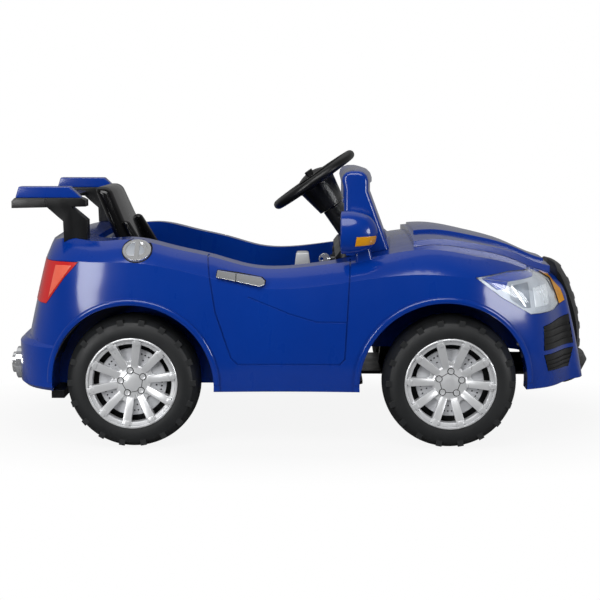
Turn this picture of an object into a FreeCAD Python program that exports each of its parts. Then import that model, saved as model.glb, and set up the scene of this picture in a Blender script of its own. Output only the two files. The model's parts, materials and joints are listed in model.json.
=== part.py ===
import FreeCAD, Part
import math
import os

"""Electric ride-on car for one small child: a moulded body on a floor pan, with steered front wheels.

The car points along +X, its left side is +Y and it stands on z = 0.  All sizes are millimetres.
Pieces of the right side (y < 0) are modelled and mirrored to the left.
"""

V = FreeCAD.Vector
X_AXIS = V(1, 0, 0)
Y_AXIS = V(0, 1, 0)
Z_AXIS = V(0, 0, 1)

# Overall layout
OVERALL_LENGTH = 1135.0
WHEELBASE = 586.0
REAR_AXLE_X = -317.0
FRONT_AXLE_X = REAR_AXLE_X + WHEELBASE
HALF_TRACK = 228.0
SEAT_GAP = 0.3          # air left between pieces that seat on each other
SHUT_GAP = 0.7          # visible gap round an inset lamp or panel
PLAY = 0.05             # radial play of pins and shafts in their bores

# Wheels: distances along the axle are measured outboard from the wheel's middle plane
TYRE_RADIUS = 125.0
TYRE_SHOULDER_DROP = 13.0
TYRE_WIDTH = 88.0
TYRE_SKIN = 5.0
TREAD_LUGS = 18
TREAD_LUG_WIDTH = 11.0
TREAD_LUG_HEIGHT = 6.5
RIM_RADIUS = 80.0
RIM_LIP = 4.5
WHEEL_BARREL = 4.0
WHEEL_WEB = 6.0
WHEEL_WEB_FACE = 14.0
WHEEL_RIBS = 10
HUB_BOSS_RADIUS = 20.0
FRONT_BOSS_LENGTH = 38.0
REAR_BOSS_LENGTH = 60.0
AXLE_RADIUS = 5.0
AXLE_NUT_RADIUS = 9.0
AXLE_NUT_HEIGHT = 6.0
SPOKES = 10
SPOKE_ROOT_WIDTH = 12.5
SPOKE_TIP_WIDTH = 16.0
SPOKE_DEPTH = 9.0
COVER_RING_WIDTH = 7.0
COVER_WEB_REACH = 11.0
COVER_WEB_HALF = 10.0
COVER_WEB_HOLLOW = 7.6
COVER_WEB_DROP = 1.6
COVER_HUB_RADIUS = 33.0
COVER_HUB_DISH = 8.0
LUG_NUTS = 5
LUG_CIRCLE_RADIUS = 22.0
LUG_NUT_RADIUS = 5.2
LUG_NUT_HEIGHT = 3.5
CAP_GROOVE = 1.5
BRAKE_DISC_RADIUS = 63.0
BRAKE_DISC_THICKNESS = 4.0
DISC_HOLE_RADIUS = 1.6

# Body shell
TAIL_LENGTH = 556.0     # from the origin back to the end of the body's plan outline
NOSE_LENGTH = 552.0
BODY_HALF_WIDTH = 288.0
PLAN_POWER = 4.6        # squareness of the tail's plan outline
NOSE_SHOULDER_X = 416.0
NOSE_SHOULDER_HALF = 250.0
NOSE_CORNER_X = 480.0
NOSE_CORNER_HALF = 196.0
NOSE_FLAT_HALF = 112.0
END_SHARE = 0.985       # where the rounded plan outline is cut off flat, nose and tail
DOOR_TUCK = 12.0        # how far the doors lie inside the wings
SILL_Z = 108.0
SILL_TUCK = 16.0
BELT_TUCK = 8.0
RIM_TUCK = 50.0
BAND_TUCK = 0.35        # place of the shoulder band's middle, as shares of its width and height
BAND_RISE = 0.48
TAIL_LEAN = 0.25        # forward lean of the tail, length per height
NOSE_LEAN = 0.24
BODY_WALL = 5.0
REAR_ARCH_GAP = 26.0
FRONT_ARCH_GAP = 31.0
FRONT_ARCH_SETBACK = 11.0
ARCH_DROP = 4.0         # arch centres lie this far below the axles
ARCH_LIP_WIDTH = 11.0
ARCH_LIP_PROUD = 3.0
ARCH_LINER = 3.0
INNER_WING_Y = 108.0
INNER_WING_WALL = 4.0
INNER_WING_FOOT_Z = 168.0
INNER_WING_FRONT_X = 470.0
GROOVE_WIDTH = 2.4
GROOVE_DEPTH = 2.0
INSET_DEPTH = 3.2       # depth of the recesses that take lamps and grilles
INSET_INNER_Y = 118.0   # inner ends of the front lamps and fog grilles
TAIL_INNER_Y = 128.0    # inner ends of the tail lights
LENS_PROUD = 0.6
LENS_DEPTH = 1.3
BUMPER_LENGTH = 553.0   # from the origin back to the end of the rear bumper's plan outline
BUMPER_TOP_Z = 196.0
BUMPER_FOOT_Z = 103.0
BUMPER_EDGE = 9.0

# Heights of the body side along its length
DECK_Z = 386.0
TAIL_RIM_DROP = 14.0
DOOR_REAR_X = -177.0
DOOR_REAR_RIM_Z = 356.0
DOOR_LOW_X = -62.0
DOOR_LOW_RIM_Z = 332.0
DOOR_FRONT_X = 86.0
DOOR_FRONT_RIM_Z = 347.0
DOOR_FOOT_Z = 161.0
DOOR_REAR_LEAN = 44.0
DOOR_FRONT_LEAN = 11.0
DOOR_STEP_Z = 240.0
DOOR_STEP_LENGTH = 55.0
COWL_X = 216.0
COWL_RIM_Z = 369.0
NOSE_RIM_Z = 298.0
TAIL_BELT_Z = 350.0
REAR_WING_BELT_Z = 348.0
DOOR_LOW_BELT_Z = 300.0
FRONT_WING_BELT_Z = 328.0
NOSE_BELT_Z = 268.0
DECK_CROWN = 5.0
BONNET_CROWN = 14.0

# Cockpit
COCKPIT_REAR_X = -395.0
COCKPIT_FRONT_X = 100.0
COCKPIT_HALF_WIDTH = 188.0
COCKPIT_CORNER = 55.0

# Bonnet and nose
BONNET_REAR_X = 203.0
BONNET_FRONT_X = 476.0
BONNET_REAR_HALF = 205.0
BONNET_FRONT_HALF = 92.0
BONNET_RAISE = 10.0
DOME_RAISE = 15.0
BONNET_WALL = 4.0
DOME_SHARE = 0.52       # width of the middle dome against the bonnet
GRILLE_TOP_HALF = 98.0
GRILLE_FOOT_HALF = 84.0
GRILLE_FOOT_Z = 160.0
GRILLE_FRONT_X = 553.0
GRILLE_BOW_RADIUS = 207.0
GRILLE_BOW_HALF = 112.0
GRILLE_RAKE = ((0, 0), (40, 1), (80, 8), (120, 21), (152, 36), (168, 55))   # (height above foot, set back)
GRILLE_RECESS = 7.0
GRILLE_FRAME = 10.0
GRILLE_BARS = 5
LIP_TOP_Z = 143.0
LIP_FOOT_Z = 101.0
LIP_HALF_WIDTH = 125.0
LIP_RADIUS = 200.0
LIP_RAKE = 14.0
LIP_EDGE = 12.0

# Floor pan and axle carriers
PAN_Z = 112.0
PAN_THICKNESS = 6.0
PAN_HALF_WIDTH = 232.0
PAN_RIM = 22.0
PAN_RIM_WALL = 5.0
TONGUE_HALF_WIDTH = 104.0
TONGUE_REACH = 505.0
KINGPIN_Y = 168.0
KINGPIN_RADIUS = 5.0
KINGPIN_HEAD = 8.0
KINGPIN_SLEEVE_RADIUS = 12.0
KINGPIN_SLEEVE_LENGTH = 44.0
KNUCKLE_EAR = 9.0
KNUCKLE_BLOCK = 12.0
STEER_ARM = 55.0
ARM_WIDTH = 16.0
ARM_PIN_RADIUS = 4.0
TIE_ROD_THICKNESS = 5.0
LINK_PLAY = 0.8         # side play of the steering pins in the tie rod
BEAM_DEPTH = 26.0
SUBFRAME_BAR = 24.0
EAR_Y = 108.0
EAR_THICKNESS = 10.0
GEARBOX_WIDTH = 50.0
GEARBOX_OUTER_Y = 172.0
MOTOR_RADIUS = 18.0
MOTOR_LENGTH = 58.0
MOTOR_OFFSET = 72.0

# Steering: distances along the column are measured down from the wheel's centre
STEER_X = 17.0
STEER_Z = 487.0
STEER_FALL = 55.1       # fall of the column below the horizontal, degrees
STEER_LOCK = 35.0       # steering wheel, degrees each way
WHEEL_LOCK = 17.5       # road wheels, degrees each way
STEER_RIM_RADIUS = 87.0
STEER_RIM_TUBE = 9.0
STEER_SPOKE_WIDTH = 20.0
STEER_SPOKE_THICKNESS = 9.0
STEER_HUB_RADIUS = 40.0
STEER_HUB_THICKNESS = 18.0
PAD_RADIUS = 31.0
PAD_RISE = 8.0
HORN_RADIUS = 8.0
HORN_TRAVEL = 2.0
HORN_OFFSET = 17.0
BOSS_TOP_RADIUS = 38.0
BOSS_FOOT_RADIUS = 28.0
BOSS_LENGTH = 52.0
SHAFT_RADIUS = 6.0
SHAFT_LENGTH = 356.0
COLUMN_RADIUS = 22.0
COLUMN_END = 152.0
CRANK_THICKNESS = 7.0

# Windscreen
SCREEN_SWEEP_RADIUS = 1300.0
SCREEN_FRONT_X = 176.5
SCREEN_DEPTH = 97.0
SCREEN_RAKE = 45.0
SCREEN_TOP_DEPTH = 50.0
SCREEN_BASE_Z = 352.0
SCREEN_TOP_Z = 511.0
SCREEN_HALF_ANGLE = 8.4
SCREEN_PILLAR_ANGLE = 2.0
SCREEN_ANGLE_GAP = 0.018 # gap at each side of the glass, degrees
SCREEN_KNEE = 55.0      # height of the bend in the front of the pillars
SCREEN_SETBACK = 12.0   # glass behind the front of the frame
SCREEN_HEADER = 24.0
SCREEN_SILL = 30.0
SCREEN_GLASS = 3.0

# Seat
SEAT_HALF_WIDTH = 122.0
SEAT_TOP_Z = 212.0
SEAT_FRONT_X = -112.0
SEAT_BACK_X = -262.0
SEAT_BACK_TOP_X = -388.0
SEAT_BACK_TOP_Z = 475.0
SEAT_BACK_THICKNESS = 26.0
SEAT_BACK_TOP_HALF = 84.0
SEAT_WALL = 5.0
SEAT_RIDGE = 7.0
SEAT_RIDGE_WIDTH = 34.0

# Tail spoiler
SPOILER_HALF_WIDTH = 212.0
SPOILER_ARM_WIDTH = 30.0
SPOILER_TRAY_REAR_X = -543.0
SPOILER_TRAY_FRONT_X = -405.0
SPOILER_TRAY_Z = 443.0
SPOILER_TRAY_TOP_Z = 462.0
SPOILER_FIN_TOP_Z = 483.0
SPOILER_FIN_WIDTH = 24.0
SPOILER_LEG_REAR_X = -446.0
SPOILER_LEG_FRONT_X = -403.0
SPOILER_BLADE_CHORD = 74.0
SPOILER_BLADE_THICKNESS = 12.0

# Mirrors, handles and small fittings
MIRROR_Y = 246.0
MIRROR_X = 67.0
MIRROR_LENGTH = 65.0
MIRROR_WIDTH = 62.0
MIRROR_HEIGHT = 72.0
MIRROR_Z = 401.0
MIRROR_GLASS = 2.5
MIRROR_POCKET = 3.0
HANDLE_LENGTH = 88.0
HANDLE_HEIGHT = 15.0
HANDLE_PROUD = 8.0
HANDLE_X = -115.0
HANDLE_Z = 319.0
HANDLE_FALL = 10.0      # degrees, front end lower
FUEL_CAP_X = -305.0
FUEL_CAP_RADIUS = 26.0
FUEL_CAP_RING = 6.0
FUEL_CAP_BAR = 8.0
FUEL_CAP_PROUD = 3.0
FUEL_CAP_RECESS = 2.2
FUEL_CAP_DEPTH = 16.0
EXHAUST_Y = 120.0
EXHAUST_Z = 137.0
EXHAUST_RADIUS = 20.0
EXHAUST_WALL = 2.5
EXHAUST_FLANGE_RADIUS = 31.0
EXHAUST_FLANGE = 7.0

# Dashboard, console and controls
DASH_TOP_Z = 362.0
DASH_FOOT_Z = 236.0
DASH_DEPTH = 42.0
DASH_WALL = 5.0
GAUGE_RADIUS = 21.0
GAUGE_Y = 62.0
GAUGE_PROUD = 3.0
KEY_Y = -100.0
KEY_Z = 338.0
KEY_BARREL_RADIUS = 9.0
KEY_BARREL_LENGTH = 9.0
KEY_SHANK_RADIUS = 2.5
KEY_BOW_RADIUS = 11.0
KEY_BOW_THICKNESS = 4.0
CONSOLE_REAR_X = -62.0
CONSOLE_FRONT_X = 34.0
CONSOLE_HALF_WIDTH = 34.0
CONSOLE_Z = 252.0
LEVER_X = -6.0
LEVER_RADIUS = 5.5
LEVER_TOP_Z = 343.0
LEVER_KNOB_WIDTH = 31.0
LEVER_KNOB_TOP = 25.0
LEVER_KNOB_HEIGHT = 34.0
LEVER_PIVOT_RADIUS = 9.0
LEVER_PIVOT_DROP = 17.0 # pivot below the console's top
LEVER_PIN_RADIUS = 3.0
PEDAL_Y = -92.0
PEDAL_X = 0.0
PEDAL_WIDTH = 66.0
PEDAL_LENGTH = 96.0
PEDAL_THICKNESS = 9.0
PEDAL_TILT = 28.0
PEDAL_PIN_RADIUS = 3.0
PEDAL_PIVOT_RISE = 15.0 # pivot above the floor pan
BATTERY_SIZE = (92.0, 70.0, 78.0)
CONTROL_SIZE = (64.0, 48.0, 26.0)
SOCKET_Y = -80.0
SOCKET_Z = 160.0
SOCKET_RADIUS = 11.0
SOCKET_BORE = 2.9
SOCKET_LENGTH = 12.0
SCREW_RADIUS = 4.5
SCREW_HEAD = 2.5

# Places that follow from the sizes
AXLE_Z = TYRE_RADIUS
PAN_TOP = PAN_Z + PAN_THICKNESS
LEVER_PIVOT_Z = CONSOLE_Z - LEVER_PIVOT_DROP
PEDAL_PIVOT_Z = PAN_TOP + PEDAL_PIVOT_RISE
REAR_ARCH_RADIUS = TYRE_RADIUS + REAR_ARCH_GAP
FRONT_ARCH_RADIUS = TYRE_RADIUS + FRONT_ARCH_GAP
TYRE_SHOULDER_RADIUS = TYRE_RADIUS - TYRE_SHOULDER_DROP
AXLE_END = WHEEL_WEB_FACE + AXLE_NUT_HEIGHT + 1.0
BRAKE_DISC_BACK = AXLE_END + 1.0
STEER_CENTRE = V(STEER_X, 0, STEER_Z)
STEER_DOWN = V(math.cos(math.radians(STEER_FALL)), 0, -math.sin(math.radians(STEER_FALL)))
STEER_FORWARD = V(math.sin(math.radians(STEER_FALL)), 0, math.cos(math.radians(STEER_FALL)))
CRANK = STEER_ARM * math.sin(math.radians(WHEEL_LOCK)) / math.sin(math.radians(STEER_LOCK))
SLEEVE_LOW = AXLE_Z - KINGPIN_SLEEVE_LENGTH / 2
SLEEVE_HIGH = AXLE_Z + KINGPIN_SLEEVE_LENGTH / 2
UPPER_EAR_Z = SLEEVE_HIGH + SEAT_GAP
LOWER_EAR_Z = SLEEVE_LOW - SEAT_GAP - KNUCKLE_EAR
ARM_TOP_Z = UPPER_EAR_Z + KNUCKLE_EAR
TIE_ROD_Z = ARM_TOP_Z + SEAT_GAP
TIE_ROD_X = FRONT_AXLE_X - STEER_ARM
KNUCKLE_BLOCK_Y = KINGPIN_Y + KINGPIN_SLEEVE_RADIUS + 1.0
HUB_TOP = STEER_HUB_THICKNESS / 3
HUB_FOOT = HUB_TOP - STEER_HUB_THICKNESS
REAR_SHARES = (END_SHARE, 0.95, 0.88, 0.77, 0.64, 0.50, 0.38, 0.27, 0.16, 0.05)
FRONT_SHARES = (0.05, 0.15, 0.26, 0.38, 0.50, 0.64, 0.77, 0.88, 0.95, END_SHARE)
BODY_STATIONS = [-TAIL_LENGTH * s for s in REAR_SHARES] + [NOSE_LENGTH * s for s in FRONT_SHARES]

# Lamp and grille outlines in side view, each from its upper rear corner
HEADLIGHT = [(310, 322), (379, 330), (457, 327), (484, 314), (500, 262), (470, 250), (418, 250), (360, 284)]
INDICATOR = [(457, 327), (484, 314), (500, 262), (486, 257), (470, 305), (449, 318)]
HEADLAMP = HEADLIGHT[:3] + [(449, 318), (470, 305), (486, 257)] + HEADLIGHT[5:]
TAIL_LIGHT = [(-600, 347), (-412, 348), (-440, 318), (-478, 268), (-600, 268)]
FOG_UPPER = [(444, 226), (508, 236), (518, 180), (446, 180)]
FOG_LOWER = [(446, 172), (518, 172), (508, 136), (456, 140)]


def polygon(points, plane, at):
    """A closed wire through 2-D points in the plane "xz", "xy" or "yz", at one place on the third axis."""
    places = {
        "xz": lambda a, b: V(a, at, b),
        "xy": lambda a, b: V(a, b, at),
        "yz": lambda a, b: V(at, a, b),
    }
    corners = [places[plane](a, b) for a, b in points]
    return Part.makePolygon(corners + corners[:1])


def prism(points, plane, low, high):
    """The polygon of 2-D points pushed along the plane's normal from low to high."""
    normal = {"xz": Y_AXIS, "xy": Z_AXIS, "yz": X_AXIS}[plane]
    return Part.Face(polygon(points, plane, low)).extrude(normal * (high - low))


def cylinder(radius, start, direction, length):
    """A round bar from start along direction."""
    return Part.makeCylinder(radius, length, start, direction)


def mirrored(shape):
    """The left-hand mirror image of a right-hand piece."""
    return shape.mirror(V(0, 0, 0), Y_AXIS)


def pair(shape):
    """A right-hand piece and its left-hand mirror image, as two solids."""
    return Part.makeCompound([shape, mirrored(shape)])


def smooth(keys, x):
    """Height at x on a smooth line through (x, height) keys, level beyond the first and last."""
    if x <= keys[0][0]:
        return keys[0][1]
    if x >= keys[-1][0]:
        return keys[-1][1]
    steps = [(b[1] - a[1]) / (b[0] - a[0]) for a, b in zip(keys, keys[1:])]
    slopes = [steps[0]]
    slopes += [2 * a * b / (a + b) if a * b > 0 else 0.0 for a, b in zip(steps, steps[1:])]
    slopes += [steps[-1]]
    i = max(k for k in range(len(keys) - 1) if keys[k][0] <= x)
    (x0, z0), (x1, z1) = keys[i], keys[i + 1]
    span = x1 - x0
    t = (x - x0) / span
    return (
        (1 + 2 * t) * (1 - t) ** 2 * z0
        + t * (1 - t) ** 2 * span * slopes[i]
        + t * t * (3 - 2 * t) * z1
        + t * t * (t - 1) * span * slopes[i + 1]
    )


def rim_z(x):
    """Top edge of the body side: tail deck, dip at the door, cowl and bonnet edge."""
    return smooth(
        [
            (-TAIL_LENGTH * END_SHARE, DECK_Z - TAIL_RIM_DROP),
            (-TAIL_LENGTH * 0.92, DECK_Z),
            (REAR_AXLE_X, DECK_Z - 1.5),
            (DOOR_REAR_X, DOOR_REAR_RIM_Z),
            (DOOR_LOW_X, DOOR_LOW_RIM_Z),
            (DOOR_FRONT_X, DOOR_FRONT_RIM_Z),
            (COWL_X, COWL_RIM_Z),
            (NOSE_LENGTH, NOSE_RIM_Z),
        ],
        x,
    )


def belt_z(x):
    """The crease below the shoulder band."""
    return smooth(
        [
            (-TAIL_LENGTH, TAIL_BELT_Z),
            (REAR_AXLE_X, REAR_WING_BELT_Z),
            (DOOR_LOW_X + 15, DOOR_LOW_BELT_Z),
            (COWL_X, FRONT_WING_BELT_Z),
            (NOSE_LENGTH, NOSE_BELT_Z),
        ],
        x,
    )


def crown(x):
    """How far the middle of the deck or bonnet stands above its edges."""
    return smooth([(DOOR_LOW_X, DECK_CROWN), (COWL_X, BONNET_CROWN), (NOSE_LENGTH, DECK_CROWN)], x)


def plan_width(x, reach, half):
    """Half width at x of a superellipse plan outline."""
    return half * (1 - min(abs(x / reach), 1.0) ** PLAN_POWER) ** (1 / PLAN_POWER)


def nose_width(x):
    """Half width at x of the nose, which narrows from the front axle to the flat end behind the grille."""
    return smooth(
        [
            (0.0, BODY_HALF_WIDTH),
            (FRONT_AXLE_X, BODY_HALF_WIDTH),
            (NOSE_SHOULDER_X, NOSE_SHOULDER_HALF),
            (NOSE_CORNER_X, NOSE_CORNER_HALF),
            (NOSE_LENGTH * END_SHARE, NOSE_FLAT_HALF),
        ],
        x,
    )


def half_width(x):
    """Widest half width of the body, drawn in at the doors."""
    outline = nose_width(x) if x > 0 else plan_width(x, TAIL_LENGTH, BODY_HALF_WIDTH)
    along = (x - (REAR_AXLE_X + FRONT_AXLE_X) / 2) / (WHEELBASE / 2)
    tuck = DOOR_TUCK * (0.5 + 0.5 * math.cos(math.pi * along)) if abs(along) < 1 else 0.0
    return outline - tuck


def shoulder_bulge(x):
    """How far the shoulder band at x stands out from the straight line between its two edges."""
    across = RIM_TUCK - BELT_TUCK
    up = rim_z(x) - belt_z(x)
    return across * up * (BAND_RISE - BAND_TUCK) / math.hypot(across, up)


def lean(x):
    """Length per height by which the section at x is sheared: none between the axles, full at the ends."""
    if x > FRONT_AXLE_X:
        return -NOSE_LEAN * ((x - FRONT_AXLE_X) / (NOSE_LENGTH - FRONT_AXLE_X)) ** 2
    if x < REAR_AXLE_X:
        return TAIL_LEAN * ((REAR_AXLE_X - x) / (TAIL_LENGTH + REAR_AXLE_X)) ** 2
    return 0.0


def body_section(x, inset):
    """Closed outline of the body at x, moved inwards by inset: sole, sides, shoulder bands and top."""
    reach = NOSE_LENGTH if x > 0 else TAIL_LENGTH
    place = x * (reach - inset) / reach
    wide = half_width(x) - inset
    top = rim_z(x) - inset
    belt = belt_z(x) - inset * 0.4
    sole = SILL_Z - 4 * max(inset, 0.0)
    middle = SILL_Z + 0.45 * (belt - SILL_Z)
    edge = wide - RIM_TUCK
    bulge = wide - BELT_TUCK - BAND_TUCK * (RIM_TUCK - BELT_TUCK)
    band = belt + BAND_RISE * (top - belt)
    rise = crown(x)

    def curve(*points):
        spline = Part.BSplineCurve()
        spline.interpolate([V(place + lean(x) * (z - SILL_Z), y, z) for y, z in points])
        return spline.toShape()

    return Part.Wire(
        [
            curve((wide - SILL_TUCK, sole), (SILL_TUCK - wide, sole)),
            curve((SILL_TUCK - wide, sole), (-wide, middle), (BELT_TUCK - wide, belt)),
            curve((BELT_TUCK - wide, belt), (-bulge, band), (-edge, top)),
            curve(
                (-edge, top), (-edge / 2, top + 0.7 * rise), (0, top + rise), (edge / 2, top + 0.7 * rise),
                (edge, top),
            ),
            curve((edge, top), (bulge, band), (wide - BELT_TUCK, belt)),
            curve((wide - BELT_TUCK, belt), (wide, middle), (wide - SILL_TUCK, sole)),
        ]
    )


body_forms = {}


def body_form(inset):
    """The outside form of the body as one solid, inset from its painted surface."""
    if inset not in body_forms:
        wires = [body_section(x, inset) for x in BODY_STATIONS]
        body_forms[inset] = Part.makeLoft(wires, True, False, False, 3)
    return body_forms[inset]


def skin(outline, proud, depth):
    """The part of the body's skin inside an outline prism, from proud of the paint to depth below it."""
    return outline.common(body_form(-proud)).cut(body_form(depth))


def on_body(shape):
    """A piece that stands on the body, trimmed to seat on its surface."""
    return shape.cut(body_form(-SEAT_GAP))


def tail_block(reach, half, levels, limit):
    """A solid behind limit with rounded plan outlines; levels are (height, inset) pairs."""
    wires = []
    for height, inset in levels:
        long = reach - inset
        count = 14
        points = []
        for i in range(-count, count + 1):
            angle = math.pi / 2 * i / count
            share = math.copysign(abs(math.sin(angle)) ** 0.5, angle)
            y = (half - inset) * share
            x = long * (1 - abs(share) ** PLAN_POWER) ** (1 / PLAN_POWER)
            if x > limit:
                points.append(V(-x, y, height))
        edge_y = plan_width(limit, long, half - inset)
        points = [V(-limit, -edge_y, height)] + points + [V(-limit, edge_y, height)]
        spline = Part.BSplineCurve()
        spline.interpolate(points)
        back = Part.makeLine(points[-1], points[0])
        wires.append(Part.Wire([spline.toShape(), back]))
    return Part.makeLoft(wires, True, True)


def rear_bumper(inset):
    """The rear bumper's form, inset from its surface."""
    foot = BUMPER_FOOT_Z - 4 * abs(inset)
    levels = [
        (foot, inset + BUMPER_EDGE),
        (BUMPER_FOOT_Z + BUMPER_EDGE, inset),
        (BUMPER_TOP_Z - BUMPER_EDGE - inset, inset),
        (BUMPER_TOP_Z - inset, inset + BUMPER_EDGE),
    ]
    return tail_block(BUMPER_LENGTH, BODY_HALF_WIDTH, levels, -REAR_AXLE_X + REAR_ARCH_RADIUS - 20)


def rounded_plan(rear, front, half, corner, low, high):
    """A box with rounded corners in plan."""
    box = Part.makeBox(front - rear, 2 * half, high - low, V(rear, -half, low))
    return box.makeFillet(corner, [e for e in box.Edges if abs(e.Vertexes[0].Z - e.Vertexes[1].Z) > 1])


def cockpit(outset):
    """The open cockpit, with a sloping rear wall behind the seat back, grown by outset."""
    plan = rounded_plan(
        COCKPIT_REAR_X - outset, COCKPIT_FRONT_X + outset, COCKPIT_HALF_WIDTH + outset,
        COCKPIT_CORNER + outset, PAN_Z - 40, SEAT_BACK_TOP_Z,
    )
    side = prism(
        [
            (COCKPIT_FRONT_X + outset, PAN_Z - 30),
            (COCKPIT_FRONT_X + outset, SEAT_BACK_TOP_Z - 5),
            (COCKPIT_REAR_X - outset, SEAT_BACK_TOP_Z - 5),
            (COCKPIT_REAR_X - outset, DECK_Z - 10),
            (SEAT_BACK_X - 46 - outset, SEAT_TOP_Z),
            (SEAT_BACK_X - 8 - outset, SEAT_TOP_Z - 45),
            (SEAT_BACK_X - 8 - outset, PAN_Z - 30),
        ],
        "xz", -300, 300,
    )
    return plan.common(side)


def wheel_arch(axle_x, radius, inner_y):
    """A cylinder across the right-hand side of the car, from inner_y outwards."""
    return cylinder(radius, V(axle_x, -inner_y, AXLE_Z - ARCH_DROP), -Y_AXIS, 400 - inner_y)


def shrunk(points, gap):
    """The polygon moved inwards by gap; a negative gap grows it."""
    area = sum(a[0] * b[1] - b[0] * a[1] for a, b in zip(points, points[1:] + points[:1]))
    turn = 1 if area > 0 else -1
    result = []
    for before, here, after in zip(points[-1:] + points[:-1], points, points[1:] + points[:1]):
        lines = []
        for p, q in ((before, here), (here, after)):
            dx, dz = q[0] - p[0], q[1] - p[1]
            size = math.hypot(dx, dz)
            nx, nz = -dz / size * turn, dx / size * turn
            lines.append((p[0] + nx * gap, p[1] + nz * gap, dx, dz))
        (ax, az, adx, adz), (bx, bz, bdx, bdz) = lines
        cross = adx * bdz - adz * bdx
        s = ((bx - ax) * bdz - (bz - az) * bdx) / cross
        result.append((ax + adx * s, az + adz * s))
    return result


def side_prism(points, inner_y):
    """An outline in side view pushed through the right-hand side of the body."""
    return prism(points, "xz", -BODY_HALF_WIDTH - 20, -inner_y)


def groove_walls(path, width):
    """Thin upright walls along a path in side view, for cutting grooves in the right-hand side."""
    walls = []
    for (x0, z0), (x1, z1) in zip(path, path[1:]):
        size = math.hypot(x1 - x0, z1 - z0)
        nx, nz = -(z1 - z0) / size * width / 2, (x1 - x0) / size * width / 2
        ex, ez = (x1 - x0) / size * width / 2, (z1 - z0) / size * width / 2
        walls.append(
            side_prism(
                [
                    (x0 - ex + nx, z0 - ez + nz), (x1 + ex + nx, z1 + ez + nz),
                    (x1 + ex - nx, z1 + ez - nz), (x0 - ex - nx, z0 - ez - nz),
                ],
                COCKPIT_HALF_WIDTH + 15,
            )
        )
    return walls[0].multiFuse(walls[1:]) if len(walls) > 1 else walls[0]


def door_path():
    """The groove round the moulded door, in side view."""
    return [
        (DOOR_REAR_X - 2, DOOR_REAR_RIM_Z + 20),
        (DOOR_REAR_X, DOOR_REAR_RIM_Z),
        (DOOR_REAR_X + DOOR_REAR_LEAN * 0.35, DOOR_STEP_Z + 20),
        (DOOR_REAR_X + DOOR_REAR_LEAN, DOOR_FOOT_Z + 12),
        (DOOR_REAR_X + DOOR_REAR_LEAN + 12, DOOR_FOOT_Z),
        (DOOR_FRONT_X - DOOR_FRONT_LEAN - 10, DOOR_FOOT_Z),
        (DOOR_FRONT_X - DOOR_FRONT_LEAN, DOOR_FOOT_Z + 10),
        (DOOR_FRONT_X, DOOR_FRONT_RIM_Z + 20),
    ]


def crease_path():
    """The swage that runs back from the front of the door and sweeps up towards the handle."""
    front = DOOR_FRONT_X - 8
    return [
        (front, DOOR_STEP_Z),
        (front - DOOR_STEP_LENGTH, DOOR_STEP_Z),
        (front - DOOR_STEP_LENGTH - 48, DOOR_STEP_Z + 14),
        (front - DOOR_STEP_LENGTH - 92, DOOR_STEP_Z + 32),
        (front - DOOR_STEP_LENGTH - 124, DOOR_STEP_Z + 45),
    ]


def column_clearance(radius, start, end):
    """A round bar along the steering column between two distances down it."""
    return cylinder(radius, STEER_CENTRE + STEER_DOWN * start, STEER_DOWN, end - start)


def make_pan_outline(low, high, grow):
    """Plan of the floor pan: a wide foot well, a narrower seat floor and tongues to the axles."""
    rear = SEAT_BACK_X - 10
    wide_from = REAR_AXLE_X + REAR_ARCH_RADIUS + 12
    front = COCKPIT_FRONT_X + 10
    seat_half = HALF_TRACK - TYRE_WIDTH / 2 - 16
    right = [
        (-TONGUE_REACH, TONGUE_HALF_WIDTH), (rear, TONGUE_HALF_WIDTH), (rear, seat_half),
        (wide_from, seat_half), (wide_from + 20, PAN_HALF_WIDTH), (front - 20, PAN_HALF_WIDTH),
        (front, PAN_HALF_WIDTH - 30),
        (front, TONGUE_HALF_WIDTH), (TONGUE_REACH, TONGUE_HALF_WIDTH),
    ]
    points = right + [(x, -y) for x, y in reversed(right)]
    return prism(shrunk(points, -grow), "xy", low, high)


def make_inner_wing():
    """An upright wall inside the right-hand wing, which closes the front wheel arch above the steering."""
    rear = COCKPIT_FRONT_X + BODY_WALL / 2
    wall = Part.makeBox(
        INNER_WING_FRONT_X - rear, INNER_WING_WALL, DECK_Z - INNER_WING_FOOT_Z,
        V(rear, -INNER_WING_Y - INNER_WING_WALL, INNER_WING_FOOT_Z),
    )
    return wall.common(body_form(BODY_WALL / 2))


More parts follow.
